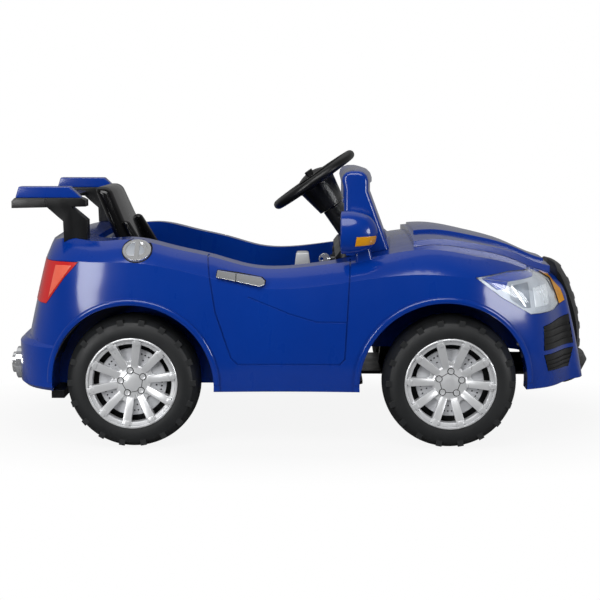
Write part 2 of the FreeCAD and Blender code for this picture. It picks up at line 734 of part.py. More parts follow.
def make_body_shell():
    """The moulded body, open below: cockpit, wheel wells, inner wings, lamp recesses and door grooves."""
    outer = body_form(0).fuse(rear_bumper(0))
    lips = []
    rear = (REAR_AXLE_X, REAR_ARCH_RADIUS)
    front = (FRONT_AXLE_X - FRONT_ARCH_SETBACK, FRONT_ARCH_RADIUS)
    for axle_x, radius in (rear, front):
        ring = wheel_arch(axle_x, radius + ARCH_LIP_WIDTH, HALF_TRACK)
        ring = ring.cut(wheel_arch(axle_x, radius - 4, HALF_TRACK - 5))
        below_sill = Part.makeBox(2000, 900, 200, V(-1000, -450, SILL_Z + 1 - 200))
        lip = ring.common(body_form(-ARCH_LIP_PROUD)).cut(below_sill)
        lips += [lip, mirrored(lip)]
    outer = outer.multiFuse(lips)
    inner = body_form(BODY_WALL).fuse(rear_bumper(BODY_WALL))
    shell = outer.cut(inner.cut(cockpit(BODY_WALL))).cut(cockpit(0))
    well_y = HALF_TRACK - TYRE_WIDTH / 2 - 6
    wells = []
    cuts = []
    for axle_x, radius, start, wall in (rear + (well_y, ARCH_LINER), front + (KINGPIN_Y + 28, 0.0)):
        drum = wheel_arch(axle_x, radius + ARCH_LINER, start - wall)
        drum = drum.cut(wheel_arch(axle_x, radius, start)).common(body_form(0))
        wells += [drum, mirrored(drum)]
        opening = wheel_arch(axle_x, radius, start if wall else KINGPIN_Y - 28)
        cuts += [opening, mirrored(opening)]
    wing = make_inner_wing()
    shell = shell.cut(cuts[0].multiFuse(cuts[1:])).multiFuse(wells + [wing, mirrored(wing)])
    axle_hole = cylinder(HUB_BOSS_RADIUS + 5, V(REAR_AXLE_X, -300, AXLE_Z), Y_AXIS, 600)
    recesses = [
        skin(side_prism(HEADLIGHT, INSET_INNER_Y), 2, INSET_DEPTH),
        skin(side_prism(TAIL_LIGHT, TAIL_INNER_Y), 2, INSET_DEPTH),
        skin(side_prism(FOG_UPPER, INSET_INNER_Y), 2, INSET_DEPTH),
        skin(side_prism(FOG_LOWER, INSET_INNER_Y), 2, INSET_DEPTH),
        skin(groove_walls(door_path(), GROOVE_WIDTH), 1, GROOVE_DEPTH),
        skin(groove_walls(crease_path(), GROOVE_WIDTH), 1, GROOVE_DEPTH / 2),
    ]
    recesses += [mirrored(r) for r in recesses]
    recesses += [
        make_pan_outline(PAN_Z - 60, PAN_TOP + SEAT_GAP, 1.0),
        axle_hole,
        column_clearance(COLUMN_RADIUS + SEAT_GAP, 40, COLUMN_END + SEAT_GAP),
        column_clearance(SHAFT_RADIUS + 6, COLUMN_END - 5, COLUMN_END + 120),
    ]
    return shell.cut(recesses)


def make_bonnet():
    """A raised panel with a higher middle, open below, seated on the nose of the body."""

    def panel(share, rear, front, raise_by, inset):
        plan = [
            (rear, -BONNET_REAR_HALF * share), (front, -BONNET_FRONT_HALF * share),
            (front, BONNET_FRONT_HALF * share), (rear, BONNET_REAR_HALF * share),
        ]
        return prism(shrunk(plan, inset), "xy", SILL_Z + 100, DECK_Z + 60).common(body_form(inset - raise_by))

    def whole(inset):
        raised = panel(1.0, BONNET_REAR_X, BONNET_FRONT_X, BONNET_RAISE, inset)
        return raised.fuse(panel(DOME_SHARE, BONNET_REAR_X + 6, BONNET_FRONT_X - 6, DOME_RAISE, inset))

    lamp = side_prism(shrunk(HEADLIGHT, -SHUT_GAP), INSET_INNER_Y)
    return on_body(whole(0.0)).cut([whole(BONNET_WALL), lamp, mirrored(lamp)])


def grille_form(inset):
    """The bowed front of the grille with a block behind it, moved back by inset."""
    sag = GRILLE_BOW_RADIUS - math.sqrt(GRILLE_BOW_RADIUS ** 2 - GRILLE_BOW_HALF ** 2)
    wires = []
    for rise, back in GRILLE_RAKE:
        z = GRILLE_FOOT_Z + rise
        x = GRILLE_FRONT_X - back - inset
        right, left = V(x - sag, -GRILLE_BOW_HALF, z), V(x - sag, GRILLE_BOW_HALF, z)
        right_end, left_end = V(NOSE_SHOULDER_X, -GRILLE_BOW_HALF, z), V(NOSE_SHOULDER_X, GRILLE_BOW_HALF, z)
        bow = Part.Arc(right, V(x, 0, z), left).toShape()
        block = [(left, left_end), (left_end, right_end), (right_end, right)]
        wires.append(Part.Wire([bow] + [Part.makeLine(start, end) for start, end in block]))
    return Part.makeLoft(wires, True, False, False, 3)


def make_grille():
    """A bowed grille that wraps up over the nose, with a recessed window and level bars."""
    top_z = GRILLE_FOOT_Z + GRILLE_RAKE[-1][0]
    frame = [
        (-GRILLE_FOOT_HALF, GRILLE_FOOT_Z), (GRILLE_FOOT_HALF, GRILLE_FOOT_Z),
        (GRILLE_TOP_HALF, top_z), (-GRILLE_TOP_HALF, top_z),
    ]
    rear = BONNET_FRONT_X + SHUT_GAP * 20
    panel = on_body(prism(frame, "yz", rear, OVERALL_LENGTH).common(grille_form(0)))
    window = prism(shrunk(frame, GRILLE_FRAME), "yz", rear + GRILLE_FRAME, OVERALL_LENGTH)
    pitch = (top_z - GRILLE_FOOT_Z - 2 * GRILLE_FRAME) / GRILLE_BARS
    bars = []
    for i in range(1, GRILLE_BARS):
        z = GRILLE_FOOT_Z + GRILLE_FRAME + i * pitch
        bars.append(Part.makeBox(600, 400, pitch * 0.3, V(FRONT_AXLE_X, -200, z - pitch * 0.15)))
    return panel.cut(window.cut(grille_form(GRILLE_RECESS)).cut(bars))


def make_front_lip():
    """A low lip below the grille: part of a turned ring, raked back to its foot, that runs into the nose."""
    centre_x = OVERALL_LENGTH / 2 - LIP_RADIUS
    profile = [
        (0.0, LIP_FOOT_Z), (LIP_RADIUS - LIP_RAKE, LIP_FOOT_Z), (LIP_RADIUS, LIP_TOP_Z - LIP_EDGE),
        (LIP_RADIUS - LIP_EDGE / 2, LIP_TOP_Z), (0.0, LIP_TOP_Z),
    ]
    face = Part.Face(polygon([(centre_x + radius, z) for radius, z in profile], "xz", 0))
    ring = face.revolve(V(centre_x, 0, 0), Z_AXIS, 360)
    rear = NOSE_CORNER_X
    nose = Part.makeBox(OVERALL_LENGTH / 2 - rear, 2 * LIP_HALF_WIDTH, 300, V(rear, -LIP_HALF_WIDTH, 0))
    return on_body(ring.common(nose))


def make_fog_grilles():
    """Slatted plates in two rows at each front corner."""
    rows = []
    for row in (FOG_UPPER, FOG_LOWER):
        low = min(z for x, z in row)
        high = max(z for x, z in row)
        plate = skin(side_prism(shrunk(row, SHUT_GAP), INSET_INNER_Y + 1), 1.0, INSET_DEPTH - SEAT_GAP)
        slots = []
        for i in range(3):
            z = low + (high - low) * (0.2 + 0.22 * i)
            slots.append(Part.makeBox(200, 300, (high - low) * 0.1, V(400, -400, z)))
        rows.append(plate.cut([slot.cut(body_form(1.0)) for slot in slots]))
    return Part.makeCompound([s for row in rows for s in (row, mirrored(row))])


def make_lamp_shell(outline, inner_y, proud, depth):
    """A pair of lamp pieces cut from the body's skin, with a gap round them."""
    return pair(skin(side_prism(shrunk(outline, SHUT_GAP), inner_y + 1), proud, depth))


def make_handle():
    """The pair of door handles: raised bars that follow the door's skin."""
    tilt = math.radians(-HANDLE_FALL)
    half_l, half_h = HANDLE_LENGTH / 2, HANDLE_HEIGHT / 2
    corners = [
        (-half_l, -half_h * 0.55), (half_l - 8, -half_h), (half_l, -half_h * 0.4),
        (half_l, half_h * 0.4), (half_l - 8, half_h), (-half_l, half_h),
    ]
    outline = [
        (
            HANDLE_X + a * math.cos(tilt) - b * math.sin(tilt),
            HANDLE_Z + a * math.sin(tilt) + b * math.cos(tilt),
        )
        for a, b in corners
    ]
    return pair(skin(side_prism(outline, COCKPIT_HALF_WIDTH + 30), HANDLE_PROUD, -SEAT_GAP))


def make_fuel_cap():
    """A round cap that lies on the slope above the rear wing's crease: ring, recess and grip bar."""
    wide = half_width(FUEL_CAP_X)
    low = V(FUEL_CAP_X, BELT_TUCK - wide, belt_z(FUEL_CAP_X))
    high = V(FUEL_CAP_X, RIM_TUCK - wide, rim_z(FUEL_CAP_X))
    slope = math.degrees(math.atan2(high.z - low.z, high.y - low.y))
    outwards = X_AXIS.cross(high - low).normalize()
    disc = cylinder(FUEL_CAP_RADIUS, V(0, 0, -FUEL_CAP_DEPTH), Z_AXIS, FUEL_CAP_DEPTH + FUEL_CAP_PROUD)
    inside = FUEL_CAP_RADIUS - FUEL_CAP_RING
    bar = Part.makeBox(FUEL_CAP_BAR, 2 * inside, FUEL_CAP_PROUD, V(-FUEL_CAP_BAR / 2, -inside, 0))
    recess = cylinder(inside, V(0, 0, FUEL_CAP_PROUD - FUEL_CAP_RECESS), Z_AXIS, FUEL_CAP_PROUD).cut(bar)
    cap = disc.cut(recess)
    cap.rotate(V(0, 0, 0), X_AXIS, slope)
    cap.translate((low + high) * 0.5 + outwards * shoulder_bulge(FUEL_CAP_X))
    return on_body(cap)


def make_exhaust_tips():
    """A pair of flanged pipe ends on the rear bumper."""
    start = V(-OVERALL_LENGTH / 2, -EXHAUST_Y, EXHAUST_Z)
    pipe = cylinder(EXHAUST_RADIUS, start, X_AXIS, 60)
    bore = cylinder(EXHAUST_RADIUS - EXHAUST_WALL, start, X_AXIS, 16)
    flange = cylinder(EXHAUST_FLANGE_RADIUS, start + X_AXIS * 9, X_AXIS, 60)
    tip = pipe.fuse(flange).cut(bore)
    return pair(on_body(tip.cut(rear_bumper(-SEAT_GAP))))


def turned(points):
    """A ring turned about the Y axis from (radius, outboard) points; a third value marks an arc's middle."""
    corners = [V(p[0], -p[1], 0) for p in points]
    through = [len(p) > 2 for p in points]
    count = len(points)
    edges = []
    i = 0
    while i < count:
        if through[(i + 1) % count]:
            edges.append(Part.Arc(corners[i], corners[i + 1], corners[(i + 2) % count]).toShape())
            i += 2
        else:
            edges.append(Part.makeLine(corners[i], corners[(i + 1) % count]))
            i += 1
    return Part.Face(Part.Wire(edges)).revolve(V(0, 0, 0), Y_AXIS, 360)


def around(shape, count, first=0.0):
    """Copies of a shape spaced evenly about the Y axis."""
    copies = []
    for i in range(count):
        copy = shape.copy()
        copy.rotate(V(0, 0, 0), Y_AXIS, first + 360.0 * i / count)
        copies.append(copy)
    return copies


def slab(low_r, high_r, width, inner, outer):
    """A block on the X axis of a wheel: a radius range, a width and an outboard range."""
    return Part.makeBox(high_r - low_r, outer - inner, width, V(low_r, -outer, -width / 2))


def make_wheel(boss_length):
    """A moulded wheel with its tyre skin, ribbed inside, with the outboard dish that takes the cover."""
    half = TYRE_WIDTH / 2
    edge = half - 4
    lip = RIM_RADIUS + RIM_LIP + 1
    wheel = turned(
        [
            (HUB_BOSS_RADIUS - 5, WHEEL_WEB_FACE), (RIM_RADIUS, WHEEL_WEB_FACE), (RIM_RADIUS, half),
            (lip, half), ((lip + TYRE_SHOULDER_RADIUS) / 2, half + 1, "arc"), (TYRE_SHOULDER_RADIUS, edge),
            (TYRE_RADIUS, 0, "arc"), (TYRE_SHOULDER_RADIUS, -edge), (TYRE_SHOULDER_RADIUS - 6, -half),
            (HUB_BOSS_RADIUS - 5, -half),
        ]
    )
    lug_low = TYRE_SHOULDER_RADIUS - 6
    lug_high = TYRE_SHOULDER_RADIUS + TREAD_LUG_HEIGHT
    outboard = slab(lug_low, lug_high, TREAD_LUG_WIDTH, half - 20, half - 1.5)
    inboard = slab(lug_low, lug_high, TREAD_LUG_WIDTH, 1.5 - half, 20 - half)
    lugs = around(outboard, TREAD_LUGS) + around(inboard, TREAD_LUGS, 180.0 / TREAD_LUGS)
    wheel = wheel.multiFuse(lugs)
    barrel = RIM_RADIUS + WHEEL_BARREL
    skin_radius = TYRE_SHOULDER_RADIUS - TYRE_SKIN
    cavity = turned(
        [
            (barrel, half - TYRE_SKIN), (skin_radius - 6, half - TYRE_SKIN), (skin_radius, edge - TYRE_SKIN),
            (TYRE_RADIUS - TYRE_SKIN, 0, "arc"), (skin_radius, TYRE_SKIN - edge), (skin_radius, -half - 5),
            (barrel, -half - 5),
        ]
    )
    web_back = WHEEL_WEB_FACE - WHEEL_WEB
    dish = turned(
        [
            (HUB_BOSS_RADIUS - 6, web_back), (RIM_RADIUS, web_back), (RIM_RADIUS, -half - 5),
            (HUB_BOSS_RADIUS - 6, -half - 5),
        ]
    )
    hollow = cavity.fuse(dish)
    ribs = around(slab(HUB_BOSS_RADIUS - 5, TYRE_RADIUS, WHEEL_BARREL, 8 - half, half), WHEEL_RIBS)
    ribs = ribs[0].multiFuse(ribs[1:]).common(hollow)
    boss_end = WHEEL_WEB_FACE - boss_length
    boss = cylinder(HUB_BOSS_RADIUS, V(0, -WHEEL_WEB_FACE, 0), Y_AXIS, boss_length)
    bore = cylinder(AXLE_RADIUS + PLAY, V(0, -half, 0), Y_AXIS, TYRE_WIDTH + 60)
    tunnel = cylinder(KINGPIN_Y / 3, V(0, -boss_end, 0), Y_AXIS, TYRE_WIDTH)
    return wheel.cut(hollow).fuse(ribs).cut(tunnel).fuse(boss).cut(bore)


def make_brake_disc():
    """A drilled disc that stands on the wheel's web behind the spokes."""
    front = BRAKE_DISC_BACK + BRAKE_DISC_THICKNESS
    clear = AXLE_NUT_RADIUS + 3
    disc = turned(
        [
            (clear, WHEEL_WEB_FACE), (clear + 8, WHEEL_WEB_FACE), (clear + 8, BRAKE_DISC_BACK),
            (BRAKE_DISC_RADIUS, BRAKE_DISC_BACK), (BRAKE_DISC_RADIUS, front), (clear, front),
        ]
    )
    holes = []
    outer_row, inner_row = BRAKE_DISC_RADIUS - 9, BRAKE_DISC_RADIUS - 19
    for radius, angle in ((outer_row, -7.5), (outer_row, 0), (outer_row, 7.5), (inner_row, 0)):
        hole = cylinder(DISC_HOLE_RADIUS, V(radius, -BRAKE_DISC_BACK + 5, 0), -Y_AXIS, 30)
        holes += around(hole, LUG_NUTS, 36.0 - 90.0 + angle)
    return disc.cut(holes)


def make_wheel_cover():
    """The bright cover: rim ring, ten tapered spokes in webbed pairs, a hub with nuts and a cap."""
    half = TYRE_WIDTH / 2
    ring_inner = RIM_RADIUS - COVER_RING_WIDTH
    back = BRAKE_DISC_BACK + BRAKE_DISC_THICKNESS
    hub_face = half - 4 - COVER_HUB_DISH
    ring = turned(
        [
            (RIM_RADIUS - SEAT_GAP, back), (RIM_RADIUS - SEAT_GAP, half + SEAT_GAP),
            (RIM_RADIUS + RIM_LIP, half + SEAT_GAP), (RIM_RADIUS + RIM_LIP, half + 1),
            (RIM_RADIUS, half + 2.6, "arc"), (ring_inner, half - 2), (ring_inner, back),
        ]
    )

    def spoke_end(radius, width, face):
        w = width / 2
        low, top = max(face - SPOKE_DEPTH, back), face
        corners = [(low, -w), (top - 2, -w), (top, -w * 0.55), (top, w * 0.55), (top - 2, w), (low, w)]
        points = [V(radius, -a, b) for a, b in corners]
        return Part.makePolygon(points + points[:1])

    spoke = Part.makeLoft(
        [
            spoke_end(COVER_HUB_RADIUS - 5, SPOKE_ROOT_WIDTH, hub_face),
            spoke_end(ring_inner + 3, SPOKE_TIP_WIDTH, half - 3),
        ],
        True, True,
    )
    hub = turned(
        [
            (0.0, back), (COVER_HUB_RADIUS, back), (COVER_HUB_RADIUS, hub_face - 1),
            (COVER_HUB_RADIUS - 2, hub_face), (0.0, hub_face),
        ]
    )
    web_tip = COVER_HUB_RADIUS + COVER_WEB_REACH
    web = Part.makeBox(
        web_tip - COVER_HUB_RADIUS + 5, hub_face - COVER_WEB_DROP - back, 2 * COVER_WEB_HALF,
        V(COVER_HUB_RADIUS - 5, COVER_WEB_DROP - hub_face, -COVER_WEB_HALF),
    )
    web = web.cut(cylinder(COVER_WEB_HOLLOW, V(web_tip + 1, -half, 0), Y_AXIS, TYRE_WIDTH))
    hub = hub.multiFuse(around(spoke, SPOKES) + around(web, LUG_NUTS, 90.0))
    corner = (LUG_CIRCLE_RADIUS - LUG_NUT_RADIUS - 2) * 1.1
    turns = [math.radians(90 + 360 / LUG_NUTS * i) for i in range(LUG_NUTS)]
    groove_outer = [(corner * math.cos(turn), corner * math.sin(turn)) for turn in turns]
    cap_outline = shrunk(groove_outer, CAP_GROOVE)
    groove = prism(groove_outer, "xz", -hub_face - 1, 1 - hub_face)
    groove = groove.cut(prism(cap_outline, "xz", -hub_face - 2, 2 - hub_face))
    cap = prism(cap_outline, "xz", -hub_face - 2, 0.5 - hub_face)
    nut = cylinder(LUG_NUT_RADIUS, V(LUG_CIRCLE_RADIUS, 0.5 - hub_face, 0), -Y_AXIS, LUG_NUT_HEIGHT + 0.5)
    nuts = around(nut, LUG_NUTS, 90.0)
    return ring.fuse(hub).cut(groove).multiFuse([cap] + nuts)


def at_wheel(shape, axle_x, turn=0.0):
    """A wheel piece moved to its axle on the right-hand side, turned about it."""
    moved = shape.copy()
    moved.rotate(V(0, 0, 0), Y_AXIS, turn)
    moved.translate(V(axle_x, -HALF_TRACK, AXLE_Z))
    return moved


def make_pan():
    """The floor pan: sills with an upstand, ears for the rear axle and ribs on the front tongue."""
    floor = make_pan_outline(PAN_Z, PAN_TOP, 0.0)
    upstand = make_pan_outline(PAN_TOP - 1, PAN_TOP + PAN_RIM, 0.0)
    upstand = upstand.cut(make_pan_outline(PAN_Z, PAN_TOP + PAN_RIM + 1, -PAN_RIM_WALL))
    wide_from = REAR_AXLE_X + REAR_ARCH_RADIUS + 40
    wide_to = COCKPIT_FRONT_X - 25
    sill_rim = upstand.common(Part.makeBox(wide_to - wide_from, 900, 100, V(wide_from, -450, PAN_TOP - 2)))
    axle_ear = prism(
        [
            (REAR_AXLE_X - 24, PAN_TOP - 1), (REAR_AXLE_X + 24, PAN_TOP - 1), (REAR_AXLE_X + 11, AXLE_Z + 14),
            (REAR_AXLE_X - 11, AXLE_Z + 14),
        ],
        "xz", -EAR_Y + 4, -EAR_Y + 4 + EAR_THICKNESS,
    )
    axle = cylinder(AXLE_RADIUS + PLAY, V(REAR_AXLE_X, -400, AXLE_Z), Y_AXIS, 800)
    rib_z = PAN_TOP - 1
    ribs = []
    for y in (-TONGUE_HALF_WIDTH * 0.55, TONGUE_HALF_WIDTH * 0.55):
        ribs.append(Part.makeBox(TONGUE_REACH - 330, PAN_RIM_WALL, 11, V(320, y - PAN_RIM_WALL / 2, rib_z)))
    return floor.multiFuse([sill_rim, axle_ear, mirrored(axle_ear)] + ribs).cut(axle)


def make_rear_subframe():
    """A hollowed cross bar under the rear tongue, behind the wheels."""
    rear = REAR_AXLE_X - TYRE_RADIUS - 8 - SUBFRAME_BAR
    reach = HALF_TRACK
    low = PAN_Z - SUBFRAME_BAR
    bar = Part.makeBox(SUBFRAME_BAR, 2 * reach, BUMPER_FOOT_Z - SEAT_GAP - low, V(rear, -reach, low))
    saddle = Part.makeBox(SUBFRAME_BAR, 2 * TONGUE_HALF_WIDTH, SUBFRAME_BAR, V(rear, -TONGUE_HALF_WIDTH, low))
    bay = (reach - 4 * PAN_RIM_WALL) / 2
    slots = []
    for start in (-reach + PAN_RIM_WALL, -bay - PAN_RIM_WALL, PAN_RIM_WALL, reach - bay - PAN_RIM_WALL):
        slots.append(Part.makeBox(SUBFRAME_BAR - 8, bay, 9, V(rear + 4, start, low - 1)))
    return bar.fuse(saddle).cut(slots)


def make_rear_axle():
    """The rear axle rod with a nut at each end."""
    reach = HALF_TRACK + AXLE_END
    rod = cylinder(AXLE_RADIUS, V(REAR_AXLE_X, -reach, AXLE_Z), Y_AXIS, 2 * reach)
    nut = cylinder(AXLE_NUT_RADIUS, V(REAR_AXLE_X, -reach, AXLE_Z), Y_AXIS, AXLE_NUT_HEIGHT)
    return rod.multiFuse([nut, mirrored(nut)])


def make_gearboxes():
    """A pair of gearboxes round the rear axle, each with a flange."""
    centre = V(REAR_AXLE_X, -GEARBOX_OUTER_Y, AXLE_Z)
    motor_x = REAR_AXLE_X - MOTOR_OFFSET
    motor_z = AXLE_Z + 16
    big = cylinder(38, centre, Y_AXIS, GEARBOX_WIDTH)
    small = cylinder(25, V(motor_x, -GEARBOX_OUTER_Y, motor_z), Y_AXIS, GEARBOX_WIDTH)
    web = prism(
        [
            (REAR_AXLE_X, AXLE_Z - 37.5), (REAR_AXLE_X, AXLE_Z + 37.5), (motor_x, motor_z + 25),
            (motor_x, motor_z - 25),
        ],
        "xz", -GEARBOX_OUTER_Y, GEARBOX_WIDTH - GEARBOX_OUTER_Y,
    )
    flange = cylinder(40, centre + Y_AXIS * (GEARBOX_WIDTH / 2 - 2), Y_AXIS, 4)
    box = big.multiFuse([small, web, flange])
    return pair(box.cut(cylinder(AXLE_RADIUS + PLAY, centre, Y_AXIS, GEARBOX_WIDTH)))


def make_motors():
    """A pair of drive motors beside the gearboxes."""
    start = V(REAR_AXLE_X - MOTOR_OFFSET, GEARBOX_WIDTH - GEARBOX_OUTER_Y, AXLE_Z + 16)
    can = cylinder(MOTOR_RADIUS, start, Y_AXIS, MOTOR_LENGTH)
    bearing = cylinder(MOTOR_RADIUS * 0.45, start, Y_AXIS, MOTOR_LENGTH + 4)
    return pair(can.fuse(bearing))


def make_front_axle_beam():
    """The front beam with a kingpin sleeve at each end and lightening pockets."""
    low = PAN_TOP
    back = FRONT_AXLE_X - BEAM_DEPTH / 2
    beam = Part.makeBox(BEAM_DEPTH, 2 * KINGPIN_Y, SLEEVE_HIGH - 3 - low, V(back, -KINGPIN_Y, low))
    sleeve_foot = V(FRONT_AXLE_X, -KINGPIN_Y, SLEEVE_LOW)
    sleeve = cylinder(KINGPIN_SLEEVE_RADIUS, sleeve_foot, Z_AXIS, KINGPIN_SLEEVE_LENGTH)
    bore = cylinder(KINGPIN_RADIUS + PLAY, V(FRONT_AXLE_X, -KINGPIN_Y, 0), Z_AXIS, 300)
    waist = Part.makeBox(BEAM_DEPTH, KINGPIN_Y - 110, 16, V(back - 9, -KINGPIN_Y + 26, low + 6))
    front_waist = waist.copy()
    front_waist.translate(V(BEAM_DEPTH - 8, 0, 0))
    cuts = [waist, mirrored(waist), front_waist, mirrored(front_waist), bore, mirrored(bore)]
    return beam.multiFuse([sleeve, mirrored(sleeve)]).cut(cuts)


def make_kingpins():
    """A pair of headed kingpins through the knuckles and the beam's sleeves."""
    low = LOWER_EAR_Z - SEAT_GAP
    length = ARM_TOP_Z + SEAT_GAP + 4 - low + 4
    pin = cylinder(KINGPIN_RADIUS, V(FRONT_AXLE_X, -KINGPIN_Y, low - 4), Z_AXIS, length)
    head = cylinder(KINGPIN_HEAD, V(FRONT_AXLE_X, -KINGPIN_Y, ARM_TOP_Z + SEAT_GAP), Z_AXIS, 4)
    foot = cylinder(KINGPIN_HEAD, V(FRONT_AXLE_X, -KINGPIN_Y, low - 4), Z_AXIS, 4)
    return pair(pin.multiFuse([head, foot]))


def make_knuckle():
    """Right-hand steering knuckle: two ears on the kingpin, a block, the stub axle and the steering arm."""
    x, y = FRONT_AXLE_X, -KINGPIN_Y
    outer_y = KNUCKLE_BLOCK_Y + KNUCKLE_BLOCK
    pieces = []
    for z in (LOWER_EAR_Z, UPPER_EAR_Z):
        pieces.append(cylinder(KINGPIN_SLEEVE_RADIUS, V(x, y, z), Z_AXIS, KNUCKLE_EAR))
        ear_corner = V(x - KINGPIN_SLEEVE_RADIUS, -outer_y, z)
        pieces.append(Part.makeBox(2 * KINGPIN_SLEEVE_RADIUS, outer_y - KINGPIN_Y, KNUCKLE_EAR, ear_corner))
    block = Part.makeBox(
        2 * KINGPIN_SLEEVE_RADIUS, KNUCKLE_BLOCK, ARM_TOP_Z - LOWER_EAR_Z,
        V(x - KINGPIN_SLEEVE_RADIUS, -outer_y, LOWER_EAR_Z),
    )
    end_y = HALF_TRACK + AXLE_END
    boss_y = HALF_TRACK + WHEEL_WEB_FACE - FRONT_BOSS_LENGTH - SEAT_GAP
    stub = cylinder(AXLE_RADIUS, V(x, -end_y, AXLE_Z), Y_AXIS, end_y - KNUCKLE_BLOCK_Y - 2)
    shoulder = cylinder(AXLE_NUT_RADIUS, V(x, -boss_y, AXLE_Z), Y_AXIS, boss_y - KNUCKLE_BLOCK_Y - 2)
    nut = cylinder(AXLE_NUT_RADIUS, V(x, -end_y, AXLE_Z), Y_AXIS, AXLE_NUT_HEIGHT)
    arm = Part.makeBox(STEER_ARM, ARM_WIDTH, KNUCKLE_EAR, V(x - STEER_ARM, y - ARM_WIDTH / 2, UPPER_EAR_Z))
    eye = cylinder(ARM_WIDTH / 2, V(x - STEER_ARM, y, UPPER_EAR_Z), Z_AXIS, KNUCKLE_EAR)
    pin_length = KNUCKLE_EAR + SEAT_GAP + TIE_ROD_THICKNESS + 4
    pin = cylinder(ARM_PIN_RADIUS, V(x - STEER_ARM, y, UPPER_EAR_Z), Z_AXIS, pin_length)
    bore = cylinder(KINGPIN_RADIUS + PLAY, V(x, y, 0), Z_AXIS, 300)
    return block.multiFuse(pieces + [stub, shoulder, nut, arm, eye, pin]).cut(bore)


def slot_hole(x0, x1, y, radius, low, high):
    """A slot along x with round ends."""
    middle = Part.makeBox(x1 - x0, 2 * radius, high - low, V(x0, y - radius, low))
    ends = [cylinder(radius, V(x, y, low), Z_AXIS, high - low) for x in (x0, x1)]
    return middle.multiFuse(ends)


def make_tie_rod():
    """A flat rod across the car: end slots on the arm pins and a middle slot for the steering crank."""
    half = 10.0
    middle = 17.0
    low, high = TIE_ROD_Z, TIE_ROD_Z + TIE_ROD_THICKNESS
    reach = KINGPIN_Y
    bar = Part.makeBox(2 * half, 2 * reach, TIE_ROD_THICKNESS, V(TIE_ROD_X - half, -reach, low))
    pad = cylinder(middle, V(TIE_ROD_X, 0, low), Z_AXIS, TIE_ROD_THICKNESS)
    ends = [cylinder(half + 2, V(TIE_ROD_X + 1, y, low), Z_AXIS, TIE_ROD_THICKNESS) for y in (-reach, reach)]
    swing = STEER_ARM * (1 - math.cos(math.radians(WHEEL_LOCK)))
    hole = ARM_PIN_RADIUS + LINK_PLAY
    slots = [slot_hole(TIE_ROD_X, TIE_ROD_X + swing, y, hole, low - 1, high + 1) for y in (-reach, reach)]
    fall = math.radians(STEER_FALL)
    centre_z = (low + high) / 2
    axis_x = STEER_X + (STEER_Z - centre_z) / math.tan(fall)
    straight = axis_x - CRANK / math.sin(fall)
    locked = axis_x - CRANK * math.cos(math.radians(STEER_LOCK)) / math.sin(fall)
    slack = ARM_PIN_RADIUS * (1 / math.sin(fall) - 1) + TIE_ROD_THICKNESS / 2 / math.tan(fall)
    slots.append(slot_hole(straight - slack, locked + slack, 0, hole, low - 1, high + 1))
    return bar.multiFuse([pad] + ends).cut(slots)


def make_steering_bracket():
    """Lower bearing of the steering shaft, standing on the floor pan."""
    low_t = SHAFT_LENGTH - 60
    boss = column_clearance(SHAFT_RADIUS + 7, low_t, low_t + 26)
    top = STEER_CENTRE + STEER_DOWN * (low_t + 13)
    back = TIE_ROD_X - 30
    stand = prism(
        [
            (back - 36, PAN_TOP), (back, PAN_TOP), (back, top.z - 40), (top.x + 4, top.z - 6),
            (top.x - 10, top.z + 6), (back - 26, top.z - 20),
        ],
        "xz", -13, 13,
    )
    return boss.fuse(stand).cut(column_clearance(SHAFT_RADIUS + PLAY, 0, SHAFT_LENGTH + 20))


def make_steering_shaft():
    """The shaft with its crank: a leg parallel to the shaft reaches down through the tie rod."""
    rod = column_clearance(SHAFT_RADIUS, 0, SHAFT_LENGTH)
    end = STEER_CENTRE + STEER_DOWN * SHAFT_LENGTH
    web_start = end - STEER_DOWN * CRANK_THICKNESS
    throw = STEER_FORWARD * -CRANK
    hub = cylinder(SHAFT_RADIUS + 3, web_start, STEER_DOWN, CRANK_THICKNESS)
    tip = cylinder(SHAFT_RADIUS + 1, web_start + throw, STEER_DOWN, CRANK_THICKNESS)
    side = Y_AXIS * 6
    corners = [web_start + side, web_start - side, web_start + throw - side, web_start + throw + side]
    web = Part.Face(Part.makePolygon(corners + corners[:1])).extrude(STEER_DOWN * CRANK_THICKNESS)
    tip_z = (end + throw).z
    leg_length = (tip_z - (TIE_ROD_Z - 5)) / -STEER_DOWN.z
    leg = cylinder(ARM_PIN_RADIUS, web_start + throw, STEER_DOWN, leg_length + CRANK_THICKNESS)
    return rod.multiFuse([hub, tip, web, leg])


def column_place(shape):
    """A piece modelled about the Z axis (up = towards the driver) moved on to the steering column."""
    moved = shape.copy()
    on_column = FreeCAD.Placement(STEER_CENTRE, FreeCAD.Rotation(Z_AXIS, STEER_DOWN * -1))
    moved.Placement = on_column.multiply(moved.Placement)
    return moved


def make_steering_wheel():
    """Rim, three spokes and a hub with a shaft bore."""
    rim = Part.makeTorus(STEER_RIM_RADIUS, STEER_RIM_TUBE)
    hub = Part.makeCylinder(STEER_HUB_RADIUS, STEER_HUB_THICKNESS, V(0, 0, HUB_FOOT))
    spokes = []
    for angle in (90, -90, 180):
        spoke = Part.makeBox(
            STEER_RIM_RADIUS - STEER_HUB_RADIUS + 10, STEER_SPOKE_WIDTH, STEER_SPOKE_THICKNESS,
            V(STEER_HUB_RADIUS - 6, -STEER_SPOKE_WIDTH / 2, -STEER_SPOKE_THICKNESS / 2),
        )
        spoke = spoke.common(Part.makeCylinder(STEER_RIM_RADIUS, 60, V(0, 0, -30)))
        spoke.rotate(V(0, 0, 0), Z_AXIS, angle)
        spokes.append(spoke)
    bore = Part.makeCylinder(SHAFT_RADIUS + PLAY, 100, V(0, 0, HUB_FOOT - 10))
    return column_place(rim.multiFuse([hub] + spokes).cut(bore))


